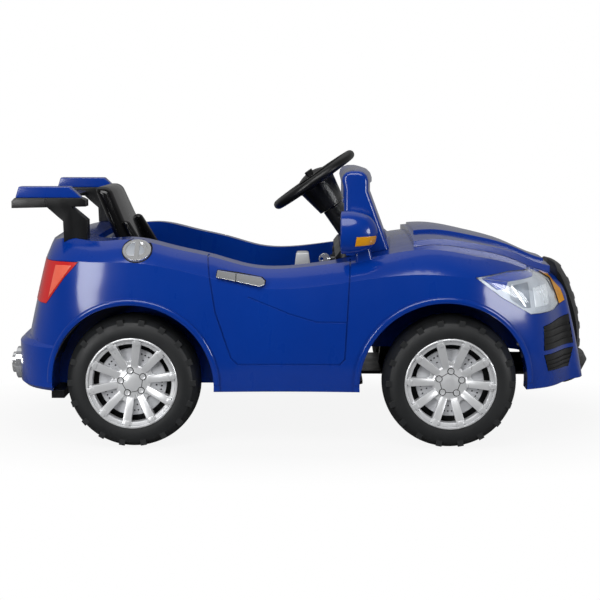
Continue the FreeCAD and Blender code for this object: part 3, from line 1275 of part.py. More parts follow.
def make_hub_pad():
    """Domed pad on the hub, with pockets for two horn buttons."""
    dome_radius = (PAD_RADIUS ** 2 + PAD_RISE ** 2) / (2 * PAD_RISE)
    ball = Part.makeSphere(dome_radius, V(0, 0, HUB_TOP + 4 + PAD_RISE - dome_radius))
    pad = Part.makeCylinder(PAD_RADIUS, PAD_RISE + 8, V(0, 0, HUB_TOP)).common(ball)
    pockets = [
        Part.makeCylinder(HORN_RADIUS + SEAT_GAP, 30, V(0, y, HUB_TOP + 4))
        for y in (-HORN_OFFSET, HORN_OFFSET)
    ]
    return column_place(pad.cut(pockets))


def make_horn_button(y):
    """A round button in the pocket at y on the hub pad."""
    start = HUB_TOP + 4 + HORN_TRAVEL + SEAT_GAP
    return column_place(Part.makeCylinder(HORN_RADIUS, PAD_RISE + 1, V(0, y, start)))


def make_steering_boss():
    """The tapered boss under the steering wheel."""
    cone = Part.makeCone(BOSS_FOOT_RADIUS, BOSS_TOP_RADIUS, BOSS_LENGTH, V(0, 0, HUB_FOOT - BOSS_LENGTH))
    return column_place(cone.cut(Part.makeCylinder(SHAFT_RADIUS + PLAY, 200, V(0, 0, HUB_FOOT - 150))))


def make_steering_column():
    """The column tube round the shaft, from the boss down into the dashboard."""
    start = BOSS_LENGTH - HUB_FOOT + 2
    tube = column_clearance(COLUMN_RADIUS, start, COLUMN_END)
    return tube.cut(column_clearance(SHAFT_RADIUS + PLAY, 0, SHAFT_LENGTH))


def make_windscreen_frame():
    """Wedge-shaped frame swept about an upright axis with its window cut through, and the glass in it."""
    centre = V(SCREEN_FRONT_X - SCREEN_SWEEP_RADIUS, 0, 0)
    front, rear = SCREEN_FRONT_X, SCREEN_FRONT_X - SCREEN_DEPTH
    top_front = front - SCREEN_RAKE
    top_rear = top_front - SCREEN_TOP_DEPTH
    knee = front - SCREEN_RAKE * 0.45
    profile = [
        (rear, SCREEN_BASE_Z), (front, SCREEN_BASE_Z), (knee, SCREEN_BASE_Z + SCREEN_KNEE),
        (top_front, SCREEN_TOP_Z - 38), (top_front, SCREEN_TOP_Z - 18), (top_front - 3, SCREEN_TOP_Z - 9),
        (top_front - 9, SCREEN_TOP_Z - 3), (top_front - 18, SCREEN_TOP_Z), (top_rear + 18, SCREEN_TOP_Z),
        (top_rear + 8, SCREEN_TOP_Z - 3), (top_rear + 2, SCREEN_TOP_Z - 9), (top_rear, SCREEN_TOP_Z - 18),
        (top_rear + 4, SCREEN_TOP_Z - 34), (rear + 6, SCREEN_BASE_Z + SCREEN_KNEE),
    ]

    def swept(points, half_angle):
        face = Part.Face(polygon(points, "xz", 0))
        face.rotate(centre, Z_AXIS, -half_angle)
        return face.revolve(centre, Z_AXIS, 2 * half_angle)

    inner = SCREEN_HALF_ANGLE - SCREEN_PILLAR_ANGLE
    low, high = SCREEN_BASE_Z + SCREEN_SILL, SCREEN_TOP_Z - SCREEN_HEADER
    window = swept([(rear - 50, low), (front + 50, low), (front + 50, high), (rear - 50, high)], inner)
    dash_top = DASH_TOP_Z + SEAT_GAP
    over_dash = cockpit(SEAT_GAP).common(Part.makeBox(800, 800, 200, V(COCKPIT_REAR_X, -400, dash_top - 200)))
    frame = on_body(swept(profile, SCREEN_HALF_ANGLE).cut(window)).cut(over_dash)
    frame = frame.cut(column_clearance(COLUMN_RADIUS + SEAT_GAP, 40, COLUMN_END + SEAT_GAP))
    frame = frame.cut(column_clearance(SHAFT_RADIUS + 6, COLUMN_END - 5, COLUMN_END + 120))

    def glass_x(z):
        keys = [(SCREEN_BASE_Z, front), (SCREEN_BASE_Z + SCREEN_KNEE, knee), (SCREEN_TOP_Z - 38, top_front)]
        return smooth(keys, z) - SCREEN_SETBACK

    levels = [low + SEAT_GAP, (low + high) / 2, high - SEAT_GAP]
    outline = [(glass_x(z), z) for z in levels]
    outline += [(glass_x(z) - SCREEN_GLASS, z) for z in reversed(levels)]
    return frame, swept(outline, inner - SCREEN_ANGLE_GAP)


def make_seat():
    """Moulded seat: box base open below, leaning back with side bolsters and a rounded top."""
    run = SEAT_BACK_X - SEAT_BACK_TOP_X
    rise = SEAT_BACK_TOP_Z - SEAT_TOP_Z
    size = math.hypot(run, rise)
    nx, nz = -rise / size * SEAT_BACK_THICKNESS, -run / size * SEAT_BACK_THICKNESS
    foot = PAN_TOP + SEAT_GAP
    top_x, top_z = SEAT_BACK_TOP_X, SEAT_BACK_TOP_Z - 8

    def profile(lift):
        lx, lz = rise / size * lift, run / size * lift
        return [
            (SEAT_FRONT_X, foot), (SEAT_FRONT_X, SEAT_TOP_Z - 16 + lift),
            (SEAT_FRONT_X - 6, SEAT_TOP_Z - 4 + lift), (SEAT_FRONT_X - 18, SEAT_TOP_Z + lift),
            (SEAT_BACK_X + 10 + lx, SEAT_TOP_Z + lift), (SEAT_BACK_X - 4 + lx, SEAT_TOP_Z + 12 + lz),
            (top_x + lx, top_z + lz), (top_x - 5, top_z + 7), (top_x + nx + 6, top_z + nz + 10),
            (top_x + nx, top_z + nz), (SEAT_BACK_X + nx * 0.9, SEAT_TOP_Z + nz - 6),
            (SEAT_BACK_X, SEAT_TOP_Z - 40), (SEAT_BACK_X, foot),
        ]

    body = prism(profile(0.0), "xz", -SEAT_HALF_WIDTH, SEAT_HALF_WIDTH)
    bolster = prism(profile(SEAT_RIDGE), "xz", -SEAT_HALF_WIDTH, SEAT_RIDGE_WIDTH - SEAT_HALF_WIDTH)
    seat = body.multiFuse([bolster, mirrored(bolster)])
    shoulder = SEAT_TOP_Z + 40
    half, top_half = SEAT_HALF_WIDTH, SEAT_BACK_TOP_HALF
    right = [
        (half, foot - 10), (half, shoulder), (half - 4, shoulder + 60),
        (top_half + 18, SEAT_BACK_TOP_Z - 70), (top_half, SEAT_BACK_TOP_Z - 24),
        (top_half - 9, SEAT_BACK_TOP_Z - 8), (top_half - 24, SEAT_BACK_TOP_Z),
    ]
    front_view = prism(right + [(-y, z) for y, z in reversed(right)], "yz", -600, 100)
    hollow = Part.makeBox(
        SEAT_FRONT_X - SEAT_BACK_X - 2 * SEAT_WALL, 2 * (SEAT_HALF_WIDTH - SEAT_WALL),
        SEAT_TOP_Z - SEAT_WALL - foot + 10,
        V(SEAT_BACK_X + SEAT_WALL, SEAT_WALL - SEAT_HALF_WIDTH, foot - 10),
    )
    return seat.common(front_view).cut(hollow)


def make_spoiler():
    """Black frame with two legs, end trays and a blade; painted fins stand on the trays."""
    outer, inner = SPOILER_HALF_WIDTH, SPOILER_HALF_WIDTH - SPOILER_ARM_WIDTH
    rear, front = SPOILER_TRAY_REAR_X, SPOILER_TRAY_FRONT_X
    low, top = SPOILER_TRAY_Z, SPOILER_TRAY_TOP_Z
    leg = prism(
        [
            (SPOILER_LEG_REAR_X, DECK_Z - 40), (SPOILER_LEG_FRONT_X, DECK_Z - 40),
            (SPOILER_LEG_FRONT_X, low - 22), (SPOILER_LEG_FRONT_X - 31, low + 4),
            (SPOILER_LEG_REAR_X - 34, low + 4), (SPOILER_LEG_REAR_X - 2, low - 24),
        ],
        "xz", -outer, -inner,
    )
    tray = prism(
        [(rear, low), (front, low + 3), (front, top - 4), (front - 8, top), (rear + 6, top), (rear, top - 6)],
        "xz", -outer, -inner,
    )
    chord = SPOILER_BLADE_CHORD
    middle = (low + top) / 2
    blade = prism(
        [
            (rear + 2, middle - 3), (rear + 2, middle + 3),
            (rear + chord * 0.6, middle + SPOILER_BLADE_THICKNESS / 2), (rear + chord, middle + 2),
            (rear + chord, middle - 3), (rear + chord * 0.6, middle - SPOILER_BLADE_THICKNESS / 2),
        ],
        "xz", -inner - 1, inner + 1,
    )
    arms = leg.fuse(tray)
    frame = on_body(arms.multiFuse([mirrored(arms), blade]))
    fin = prism(
        [(rear + 7, top), (front - 8, top), (front - 30, SPOILER_FIN_TOP_Z), (rear + 14, SPOILER_FIN_TOP_Z)],
        "xz", -outer, SPOILER_FIN_WIDTH - outer,
    )
    return frame, pair(fin)


def mirror_form(inset):
    """Rounded mirror body, lofted from its flat rear face to its small nose."""
    wires = []
    stations = (
        (0.0, 0.92, 0.92), (0.3, 1.0, 1.0), (0.62, 0.96, 0.94), (0.86, 0.76, 0.74), (1.0, 0.46, 0.44),
    )
    for share, wide, tall in stations:
        x = MIRROR_X + inset + share * (MIRROR_LENGTH - 2 * inset)
        w, h = MIRROR_WIDTH / 2 * wide - inset, MIRROR_HEIGHT / 2 * tall - inset
        r = min(w, h) * 0.55
        place = [
            (-w + r, -h), (w - r, -h), (w, -h + r), (w, h - r),
            (w - r, h), (-w + r, h), (-w, h - r), (-w, -h + r),
        ]
        bend = r * (1 - math.sqrt(0.5))
        mids = [(w - bend, -h + bend), (w - bend, h - bend), (bend - w, h - bend), (bend - w, bend - h)]
        p = [V(x, -MIRROR_Y + a, MIRROR_Z + b) for a, b in place]
        m = [V(x, -MIRROR_Y + a, MIRROR_Z + b) for a, b in mids]
        edges = []
        for i in range(4):
            edges.append(Part.makeLine(p[2 * i], p[2 * i + 1]))
            edges.append(Part.Arc(p[2 * i + 1], m[i], p[(2 * i + 2) % 8]).toShape())
        wires.append(Part.Wire(edges))
    return Part.makeLoft(wires, True, False, False, 3)


def make_mirrors():
    """A pair of mirrors: housing with its foot, glass and amber repeater."""
    body = mirror_form(0)
    foot = prism(
        [
            (MIRROR_X + 30, MIRROR_Z - 80), (MIRROR_X + 66, MIRROR_Z - 80), (MIRROR_X + 50, MIRROR_Z - 20),
            (MIRROR_X + 22, MIRROR_Z - 20),
        ],
        "xz", -MIRROR_Y + 6, -MIRROR_Y + 30,
    )
    pocket_half = MIRROR_WIDTH / 2 - 8
    pocket_tall = MIRROR_HEIGHT / 2 - 9

    def plate(grow, start, depth):
        box = Part.makeBox(depth, 2 * (pocket_half + grow), 2 * (pocket_tall + grow),
                           V(start, -MIRROR_Y - pocket_half - grow, MIRROR_Z - pocket_tall - grow))
        long_edges = [e for e in box.Edges if abs(e.Vertexes[0].X - e.Vertexes[1].X) > depth / 2]
        return box.makeFillet(14, long_edges)

    glass = plate(-SEAT_GAP, MIRROR_X + MIRROR_POCKET - MIRROR_GLASS, MIRROR_GLASS)
    housing = on_body(body.fuse(foot)).cut(plate(0.0, MIRROR_X - 5, MIRROR_POCKET + 5))
    strip = prism(
        [
            (MIRROR_X + 24, MIRROR_Z - 24), (MIRROR_X + MIRROR_LENGTH - 1, MIRROR_Z - 22),
            (MIRROR_X + MIRROR_LENGTH + 3, MIRROR_Z - 6), (MIRROR_X + 28, MIRROR_Z - 6),
        ],
        "xz", -MIRROR_Y - 60, -MIRROR_Y - 6,
    )
    lens = strip.common(mirror_form(-1.4)).cut(mirror_form(-SEAT_GAP))
    return pair(housing), pair(glass), pair(lens)


def make_dashboard():
    """Dashboard across the front of the cockpit, with two gauges, a lock barrel and the column hole."""
    rear = COCKPIT_FRONT_X - DASH_DEPTH
    body = prism(
        [
            (COCKPIT_FRONT_X + 10, DASH_FOOT_Z), (COCKPIT_FRONT_X + 10, DASH_TOP_Z), (rear + 9, DASH_TOP_Z),
            (rear, DASH_TOP_Z - 12), (rear, DASH_TOP_Z - 58), (rear + 24, DASH_FOOT_Z),
        ],
        "xz", -COCKPIT_HALF_WIDTH - 10, COCKPIT_HALF_WIDTH + 10,
    )
    hollow = prism(
        [
            (COCKPIT_FRONT_X + 10, DASH_FOOT_Z - 1), (COCKPIT_FRONT_X + 10, DASH_TOP_Z - DASH_WALL),
            (rear + 9 + DASH_WALL / 2, DASH_TOP_Z - DASH_WALL), (rear + DASH_WALL, DASH_TOP_Z - 14),
            (rear + DASH_WALL, DASH_TOP_Z - 58), (rear + 24 + DASH_WALL, DASH_FOOT_Z - 1),
        ],
        "xz", -COCKPIT_HALF_WIDTH - 10, COCKPIT_HALF_WIDTH + 10,
    )
    body = body.common(cockpit(-SEAT_GAP)).cut(hollow.common(cockpit(-DASH_WALL)))
    gauge_z = DASH_TOP_Z - 35
    gauges = []
    for y in (-GAUGE_Y, GAUGE_Y):
        dial = cylinder(GAUGE_RADIUS, V(rear + 1, y, gauge_z), -X_AXIS, GAUGE_PROUD + 1)
        face = cylinder(GAUGE_RADIUS - 3, V(rear - GAUGE_PROUD / 2, y, gauge_z), -X_AXIS, 20)
        gauges.append(dial.cut(face))
    barrel = cylinder(KEY_BARREL_RADIUS, V(rear + 1, KEY_Y, KEY_Z), -X_AXIS, KEY_BARREL_LENGTH + 1)
    bore_start = V(rear - KEY_BARREL_LENGTH - 1, KEY_Y, KEY_Z)
    key_bore = cylinder(KEY_SHANK_RADIUS + PLAY, bore_start, X_AXIS, KEY_BARREL_LENGTH + 11)
    cuts = [key_bore, column_clearance(COLUMN_RADIUS + PLAY, 0, SHAFT_LENGTH)]
    return body.multiFuse(gauges + [barrel]).cut(cuts)


def make_ignition_key():
    """The key: shank in the lock barrel and a bow with a hole."""
    face = COCKPIT_FRONT_X - DASH_DEPTH - KEY_BARREL_LENGTH
    shank = cylinder(KEY_SHANK_RADIUS, V(face - 6, KEY_Y, KEY_Z), X_AXIS, KEY_BARREL_LENGTH + 13)
    bow_x = face - SEAT_GAP - KEY_BOW_RADIUS
    bow = cylinder(KEY_BOW_RADIUS, V(bow_x, KEY_Y - KEY_BOW_THICKNESS / 2, KEY_Z), Y_AXIS, KEY_BOW_THICKNESS)
    hole = cylinder(KEY_BOW_RADIUS * 0.3, V(bow_x - KEY_BOW_RADIUS * 0.45, KEY_Y - 10, KEY_Z), Y_AXIS, 20)
    return shank.fuse(bow).cut(hole)


def make_console():
    """Centre console with a slot for the gear lever and the pin it rocks on."""
    body = prism(
        [
            (CONSOLE_REAR_X, PAN_TOP), (CONSOLE_FRONT_X, PAN_TOP), (CONSOLE_FRONT_X - 10, CONSOLE_Z - 6),
            (CONSOLE_FRONT_X - 18, CONSOLE_Z), (CONSOLE_REAR_X + 24, CONSOLE_Z),
            (CONSOLE_REAR_X + 12, CONSOLE_Z - 10),
        ],
        "xz", -CONSOLE_HALF_WIDTH, CONSOLE_HALF_WIDTH,
    )
    hollow = prism(
        [
            (CONSOLE_REAR_X + 6, PAN_TOP - 1), (CONSOLE_FRONT_X - 6, PAN_TOP - 1),
            (CONSOLE_FRONT_X - 18, LEVER_PIVOT_Z - 20), (CONSOLE_REAR_X + 20, LEVER_PIVOT_Z - 20),
        ],
        "xz", 5 - CONSOLE_HALF_WIDTH, CONSOLE_HALF_WIDTH - 5,
    )
    slot_half = LEVER_PIVOT_RADIUS + 5
    slot_foot = LEVER_PIVOT_Z - LEVER_PIVOT_RADIUS - 4
    slot = Part.makeBox(2 * slot_half, 14, 60, V(LEVER_X - slot_half, -7, slot_foot))
    pin = cylinder(LEVER_PIN_RADIUS, V(LEVER_X, -8, LEVER_PIVOT_Z), Y_AXIS, 16)
    return body.cut([hollow, slot]).fuse(pin)


def make_gear_lever():
    """The gear lever: hinge barrel, stem and a squarish knob."""
    barrel = cylinder(LEVER_PIVOT_RADIUS, V(LEVER_X, -6.5, LEVER_PIVOT_Z), Y_AXIS, 13)
    knob_z = LEVER_TOP_Z - LEVER_KNOB_HEIGHT
    stem = cylinder(LEVER_RADIUS, V(LEVER_X, 0, LEVER_PIVOT_Z), Z_AXIS, knob_z - LEVER_PIVOT_Z + 5)

    def square(width, z):
        h = width / 2
        return polygon([(LEVER_X - h, -h), (LEVER_X + h, -h), (LEVER_X + h, h), (LEVER_X - h, h)], "xy", z)

    knob = Part.makeLoft(
        [
            square(LEVER_KNOB_TOP - 6, knob_z), square(LEVER_KNOB_WIDTH, knob_z + 7),
            square(LEVER_KNOB_TOP, LEVER_TOP_Z - 3), square(LEVER_KNOB_TOP - 6, LEVER_TOP_Z),
        ],
        True, True,
    )
    bore = cylinder(LEVER_PIN_RADIUS + PLAY, V(LEVER_X, -20, LEVER_PIVOT_Z), Y_AXIS, 40)
    return barrel.multiFuse([stem, knob]).cut(bore)


def make_pedal_bracket():
    """Two ears on the floor with the pedal's pin between them."""
    ear_half = PEDAL_WIDTH / 2 + SEAT_GAP
    ears = []
    for start in (PEDAL_Y - ear_half - 5, PEDAL_Y + ear_half):
        ears.append(
            prism(
                [
                    (PEDAL_X - 16, PAN_TOP), (PEDAL_X + 16, PAN_TOP), (PEDAL_X + 8, PEDAL_PIVOT_Z + 7),
                    (PEDAL_X - 8, PEDAL_PIVOT_Z + 7),
                ],
                "xz", start, start + 5,
            )
        )
    pin_start = V(PEDAL_X, PEDAL_Y - ear_half - 1, PEDAL_PIVOT_Z)
    pin = cylinder(PEDAL_PIN_RADIUS, pin_start, Y_AXIS, 2 * ear_half + 2)
    return ears[0].multiFuse([ears[1], pin])


def make_pedal():
    """Accelerator pedal: ribbed plate that rises forwards from its hinge barrel."""
    half = PEDAL_WIDTH / 2
    plate = Part.makeBox(PEDAL_LENGTH, PEDAL_WIDTH, PEDAL_THICKNESS, V(0, -half, -PEDAL_THICKNESS / 2))
    rib_foot = PEDAL_THICKNESS / 2 - 0.5
    ribs = [Part.makeBox(5, PEDAL_WIDTH - 12, 3, V(22 + 14 * i, 6 - half, rib_foot)) for i in range(5)]
    barrel = cylinder(PEDAL_PIN_RADIUS + 4, V(0, -half, 0), Y_AXIS, PEDAL_WIDTH)
    bore = cylinder(PEDAL_PIN_RADIUS + PLAY, V(0, -half - 5, 0), Y_AXIS, PEDAL_WIDTH + 10)
    pedal = plate.multiFuse(ribs + [barrel]).cut(bore)
    pedal.rotate(V(0, 0, 0), Y_AXIS, -PEDAL_TILT)
    pedal.translate(V(PEDAL_X, PEDAL_Y, PEDAL_PIVOT_Z))
    return pedal


def make_battery():
    """The battery under the seat, with two terminals."""
    length, width, height = BATTERY_SIZE
    rear = SEAT_BACK_X + SEAT_WALL + 6
    case = Part.makeBox(length, width, height, V(rear, -width / 2, PAN_TOP))
    posts = [
        Part.makeBox(12, 8, 8, V(rear + 6, y - 4, PAN_TOP + height - 0.5)) for y in (-width / 4, width / 4)
    ]
    return case.multiFuse(posts)


def make_control_box():
    """The control box beside the battery."""
    length, width, height = CONTROL_SIZE
    return Part.makeBox(length, width, height, V(SEAT_BACK_X + 40, BATTERY_SIZE[1] / 2 + 14, PAN_TOP))


def make_charging_socket():
    """The round charging socket in the front of the seat base."""
    start = V(SEAT_FRONT_X, SOCKET_Y, SOCKET_Z)
    body = cylinder(SOCKET_RADIUS, start, X_AXIS, SOCKET_LENGTH)
    return body.cut(cylinder(SOCKET_BORE, start + X_AXIS * 2, X_AXIS, SOCKET_LENGTH))


def make_screws():
    """Screw heads under the floor pan, in pairs along its edges."""
    heads = []
    for x in (COCKPIT_FRONT_X - 30, -80.0):
        for y in (-PAN_HALF_WIDTH + 45, PAN_HALF_WIDTH - 45):
            heads.append(cylinder(SCREW_RADIUS, V(x, y, PAN_Z - SCREW_HEAD), Z_AXIS, SCREW_HEAD))
    return Part.makeCompound(heads)


def make_nodes():
    """Every piece of the car by name."""
    frame, glass = make_windscreen_frame()
    spoiler, fins = make_spoiler()
    housings, mirrors, repeaters = make_mirrors()
    knuckle = make_knuckle()
    lamp_floor = INSET_DEPTH - SEAT_GAP
    nodes = {
        "body_shell": make_body_shell(),
        "bonnet": make_bonnet(),
        "grille": make_grille(),
        "front_lip": make_front_lip(),
        "fog_grilles": make_fog_grilles(),
        "headlight_housings": make_lamp_shell(HEADLAMP, INSET_INNER_Y, -LENS_DEPTH - SEAT_GAP, lamp_floor),
        "headlight_lenses": make_lamp_shell(HEADLAMP, INSET_INNER_Y, LENS_PROUD, LENS_DEPTH),
        "headlight_indicators": make_lamp_shell(INDICATOR, INSET_INNER_Y, LENS_PROUD, lamp_floor),
        "tail_lights": make_lamp_shell(TAIL_LIGHT, TAIL_INNER_Y, LENS_PROUD, lamp_floor),
        "door_handles": make_handle(),
        "fuel_cap": make_fuel_cap(),
        "exhaust_tips": make_exhaust_tips(),
        "spoiler_frame": spoiler,
        "spoiler_fins": fins,
        "windscreen_frame": frame,
        "windscreen": glass,
        "mirror_housings": housings,
        "mirror_glasses": mirrors,
        "mirror_indicators": repeaters,
        "seat": make_seat(),
        "dashboard": make_dashboard(),
        "console": make_console(),
        "pedal_bracket": make_pedal_bracket(),
        "floor_pan": make_pan(),
        "pan_screws": make_screws(),
        "rear_subframe": make_rear_subframe(),
        "rear_axle": make_rear_axle(),
        "gearboxes": make_gearboxes(),
        "drive_motors": make_motors(),
        "battery": make_battery(),
        "control_box": make_control_box(),
        "charging_socket": make_charging_socket(),
        "front_axle_beam": make_front_axle_beam(),
        "kingpins": make_kingpins(),
        "steering_bracket": make_steering_bracket(),
        "steering_column": make_steering_column(),
        "steering_shaft": make_steering_shaft(),
        "steering_wheel": make_steering_wheel(),
        "steering_hub_pad": make_hub_pad(),
        "steering_boss": make_steering_boss(),
        "horn_button_right": make_horn_button(-HORN_OFFSET),
        "horn_button_left": make_horn_button(HORN_OFFSET),
        "tie_rod": make_tie_rod(),
        "knuckle_right": knuckle,
        "knuckle_left": mirrored(knuckle),
        "accelerator_pedal": make_pedal(),
        "gear_lever": make_gear_lever(),
        "ignition_key": make_ignition_key(),
    }
    disc, cover = make_brake_disc(), make_wheel_cover()
    corners = (("front", FRONT_AXLE_X, FRONT_BOSS_LENGTH), ("rear", REAR_AXLE_X, REAR_BOSS_LENGTH))
    for end, axle_x, boss_length in corners:
        wheel = make_wheel(boss_length)
        for name, piece in (("wheel", wheel), ("brake_disc", disc), ("wheel_cover", cover)):
            right = at_wheel(piece, axle_x)
            nodes[name + "_" + end + "_right"] = right
            nodes[name + "_" + end + "_left"] = mirrored(right)
    return nodes


def main():
    os.makedirs("parts", exist_ok=True)
    for name, shape in make_nodes().items():
        print(name, shape.isValid(), len(shape.Solids), round(shape.Volume))
        shape.exportStep("parts/" + name + ".step")


main()
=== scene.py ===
"""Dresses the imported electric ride-on car and sets it in a plain white studio.

The car points along +X, its left side is +Y and it stands on z = 0.  All sizes are metres.
"""
import json
import logging
import math
from contextlib import contextmanager
from dataclasses import dataclass
from enum import Enum
from typing import Callable, Iterator, Sequence

import bmesh
import bpy
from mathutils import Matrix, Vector, geometry

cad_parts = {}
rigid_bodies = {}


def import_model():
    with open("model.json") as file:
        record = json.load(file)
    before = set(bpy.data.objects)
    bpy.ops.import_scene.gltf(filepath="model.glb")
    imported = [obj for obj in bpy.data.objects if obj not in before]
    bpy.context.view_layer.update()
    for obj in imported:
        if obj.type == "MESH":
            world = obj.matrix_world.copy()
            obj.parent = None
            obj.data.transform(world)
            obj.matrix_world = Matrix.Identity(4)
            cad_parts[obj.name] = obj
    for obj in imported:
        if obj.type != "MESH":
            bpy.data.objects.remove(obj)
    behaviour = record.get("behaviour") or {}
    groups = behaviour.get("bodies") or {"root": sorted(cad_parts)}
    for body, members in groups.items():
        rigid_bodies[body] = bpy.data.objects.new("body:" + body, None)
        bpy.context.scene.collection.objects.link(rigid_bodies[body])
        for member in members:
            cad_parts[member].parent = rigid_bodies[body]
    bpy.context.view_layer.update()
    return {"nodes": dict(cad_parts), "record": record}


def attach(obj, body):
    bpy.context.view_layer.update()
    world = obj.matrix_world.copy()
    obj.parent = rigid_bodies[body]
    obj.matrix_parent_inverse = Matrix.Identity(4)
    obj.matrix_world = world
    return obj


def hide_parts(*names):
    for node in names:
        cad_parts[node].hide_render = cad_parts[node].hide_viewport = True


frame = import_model()

LOG = logging.getLogger("ride_on_car")
Piece = bpy.types.Object
Socket = bpy.types.NodeSocket
Inputs = dict[str | int, object]        # what feeds each input of a node: a socket or a plain value
Colour = tuple[float, float, float]
Point = tuple[float, float, float]
Pair = tuple[float, float]
Outline = Sequence[Pair]                # (x, z) corners in side view, or the steps of a turned profile

MM = 0.001
EVEN: Point = (1.0, 1.0, 1.0)
NONE_TO_ALL: Pair = (0.0, 1.0)
QUARTER_TURN = math.pi / 2
ORIGIN: Point = (0.0, 0.0, 0.0)
DOWN: Point = (0.0, 0.0, -1.0)
FACING = 0.9                            # a face whose normal reaches this along an axis faces that way
EDGE_ANGLE = 34.0                       # degrees; in the shading an edge sharper than this stays sharp
SHEET_ANGLE = 40.0                      # the same for pressed sheets
ROUNDED_ANGLE = 32.0                    # the same for pieces whose edges are rounded
PATCH_ANGLE = 50.0                      # degrees; edges of a patch sharper than this are rounded

COAT_ROUGHNESS = 0.12
RELIEF_DETAIL = 2.0                     # octaves of the noise that a relief is made of
FLAKE_DETAIL = 1.0
EDGE_EASING = 1.2 * MM                  # radius that sharp edges are eased to
EDGE_SPAN: Pair = (0.99, 0.8)           # agreement of the eased and the plain normal, from flat to edge
PATCH_DETAIL = 4.0
PATCH_SPAN: Pair = (0.35, 0.7)          # noise values over which a colour wanders to its second one
FLAKE_SPAN: Pair = (0.58, 0.72)         # noise values over which a flake lights up
FLAKE_SHARE: Pair = (0.0, 0.5)
FLAKE_GAIN = 1.5
FLAKE_LIFT = 0.004
RUB_PITCH = 60.0                        # repeats in a metre of the patches that are rubbed
RUB_DETAIL = 4.0
RUB_SPAN: Pair = (0.45, 0.7)
SMEAR_PITCH = 34.0                      # repeats in a metre of the smears that change the gloss
SMEAR_DETAIL = 5.0
SMEAR_RUN: Point = (1.0, 1.0, 0.35)
SMEAR_SPAN: Pair = (0.3, 0.7)

SHEET_OUT = 0.45                        # how far out to the right a sheet starts before it is pressed on
TOUCH = 1.0 * MM                        # a point of a sheet that moves less than this has missed the car
FAR_SIDE = 0.2                          # a point this much deeper than the nearest one is past the near side
JOIN_WITHIN = 0.01 * MM
FLAT_WITHIN = 0.6                       # degrees between faces that count as one
LINE_AREA = 1e-9                        # three points with a smaller triangle count as a line
OUTLINE_PLACES = 4                      # decimals that an outline's corners are rounded to
THIN_LIFT = 0.05 * MM                   # how far the back of a thin patch stands off what carries it


class Side(Enum):
    """The two sides of the car, with the sign of their y."""

    RIGHT = -1
    LEFT = 1


class Relief(Enum):
    """The fine pattern that a finish carries in its surface."""

    PEEL = "the soft ripple of sprayed paint"
    GRAIN = "the pebbled grain of a textured mould"
    BRUSHED = "fine lines left by a brush or a lathe"
    PRISM = "small ribs moulded inside a lens"
    FLAKE = "flat metal flakes under lacquer"


class ShaderNodes:
    """A node tree, with the few nodes that the finishes and the studio are made of."""

    def __init__(self, tree: bpy.types.NodeTree) -> None:
        """Takes the tree that the nodes go into."""
        self.tree = tree

    def wire(self, node: bpy.types.Node, inputs: Inputs) -> None:
        """Feeds a node's inputs.

        Args:
            node: the node.
            inputs: a socket to link or a plain value to set, for each input's name or number.
        """
        for key, value in inputs.items():
            if isinstance(value, Socket):
                self.tree.links.new(value, node.inputs[key])
            else:
                node.inputs[key].default_value = value

    def add(self, kind: str, inputs: Inputs | None = None, **settings: str) -> bpy.types.Node:
        """Adds one node.

        Args:
            kind: its kind, without the word ShaderNode before it.
            inputs: what feeds its inputs.
            settings: choices on the node itself, made before its inputs are fed.

        Returns:
            The node.
        """
        node = self.tree.nodes.new("ShaderNode" + kind)
        for key, value in settings.items():
            setattr(node, key, value)
        self.wire(node, inputs or {})
        return node

    def maths(self, operation: str, first: Socket, second: Socket) -> Socket:
        """Works out one sum on two values."""
        return self.add("Math", {0: first, 1: second}, operation=operation).outputs["Value"]

    def spread(self, value: Socket, span: Pair, onto: Pair, **settings: str) -> Socket:
        """Maps a span of values onto another and holds it there.

        Args:
            value: what is mapped.
            span: the values that count.
            onto: what they become.
            settings: choices on the node itself.

        Returns:
            The mapped value.
        """
        low, high = span
        floor, ceiling = onto
        inputs = {"Value": value, "From Min": low, "From Max": high, "To Min": floor, "To Max": ceiling}
        return self.add("MapRange", inputs, **settings).outputs["Result"]

    def seen(self) -> Socket:
        """Gives 1 to rays that reach the camera, also through glass, and 0 to others."""
        path = self.add("LightPath").outputs
        return self.maths("MAXIMUM", path["Is Camera Ray"], path["Is Transmission Ray"])


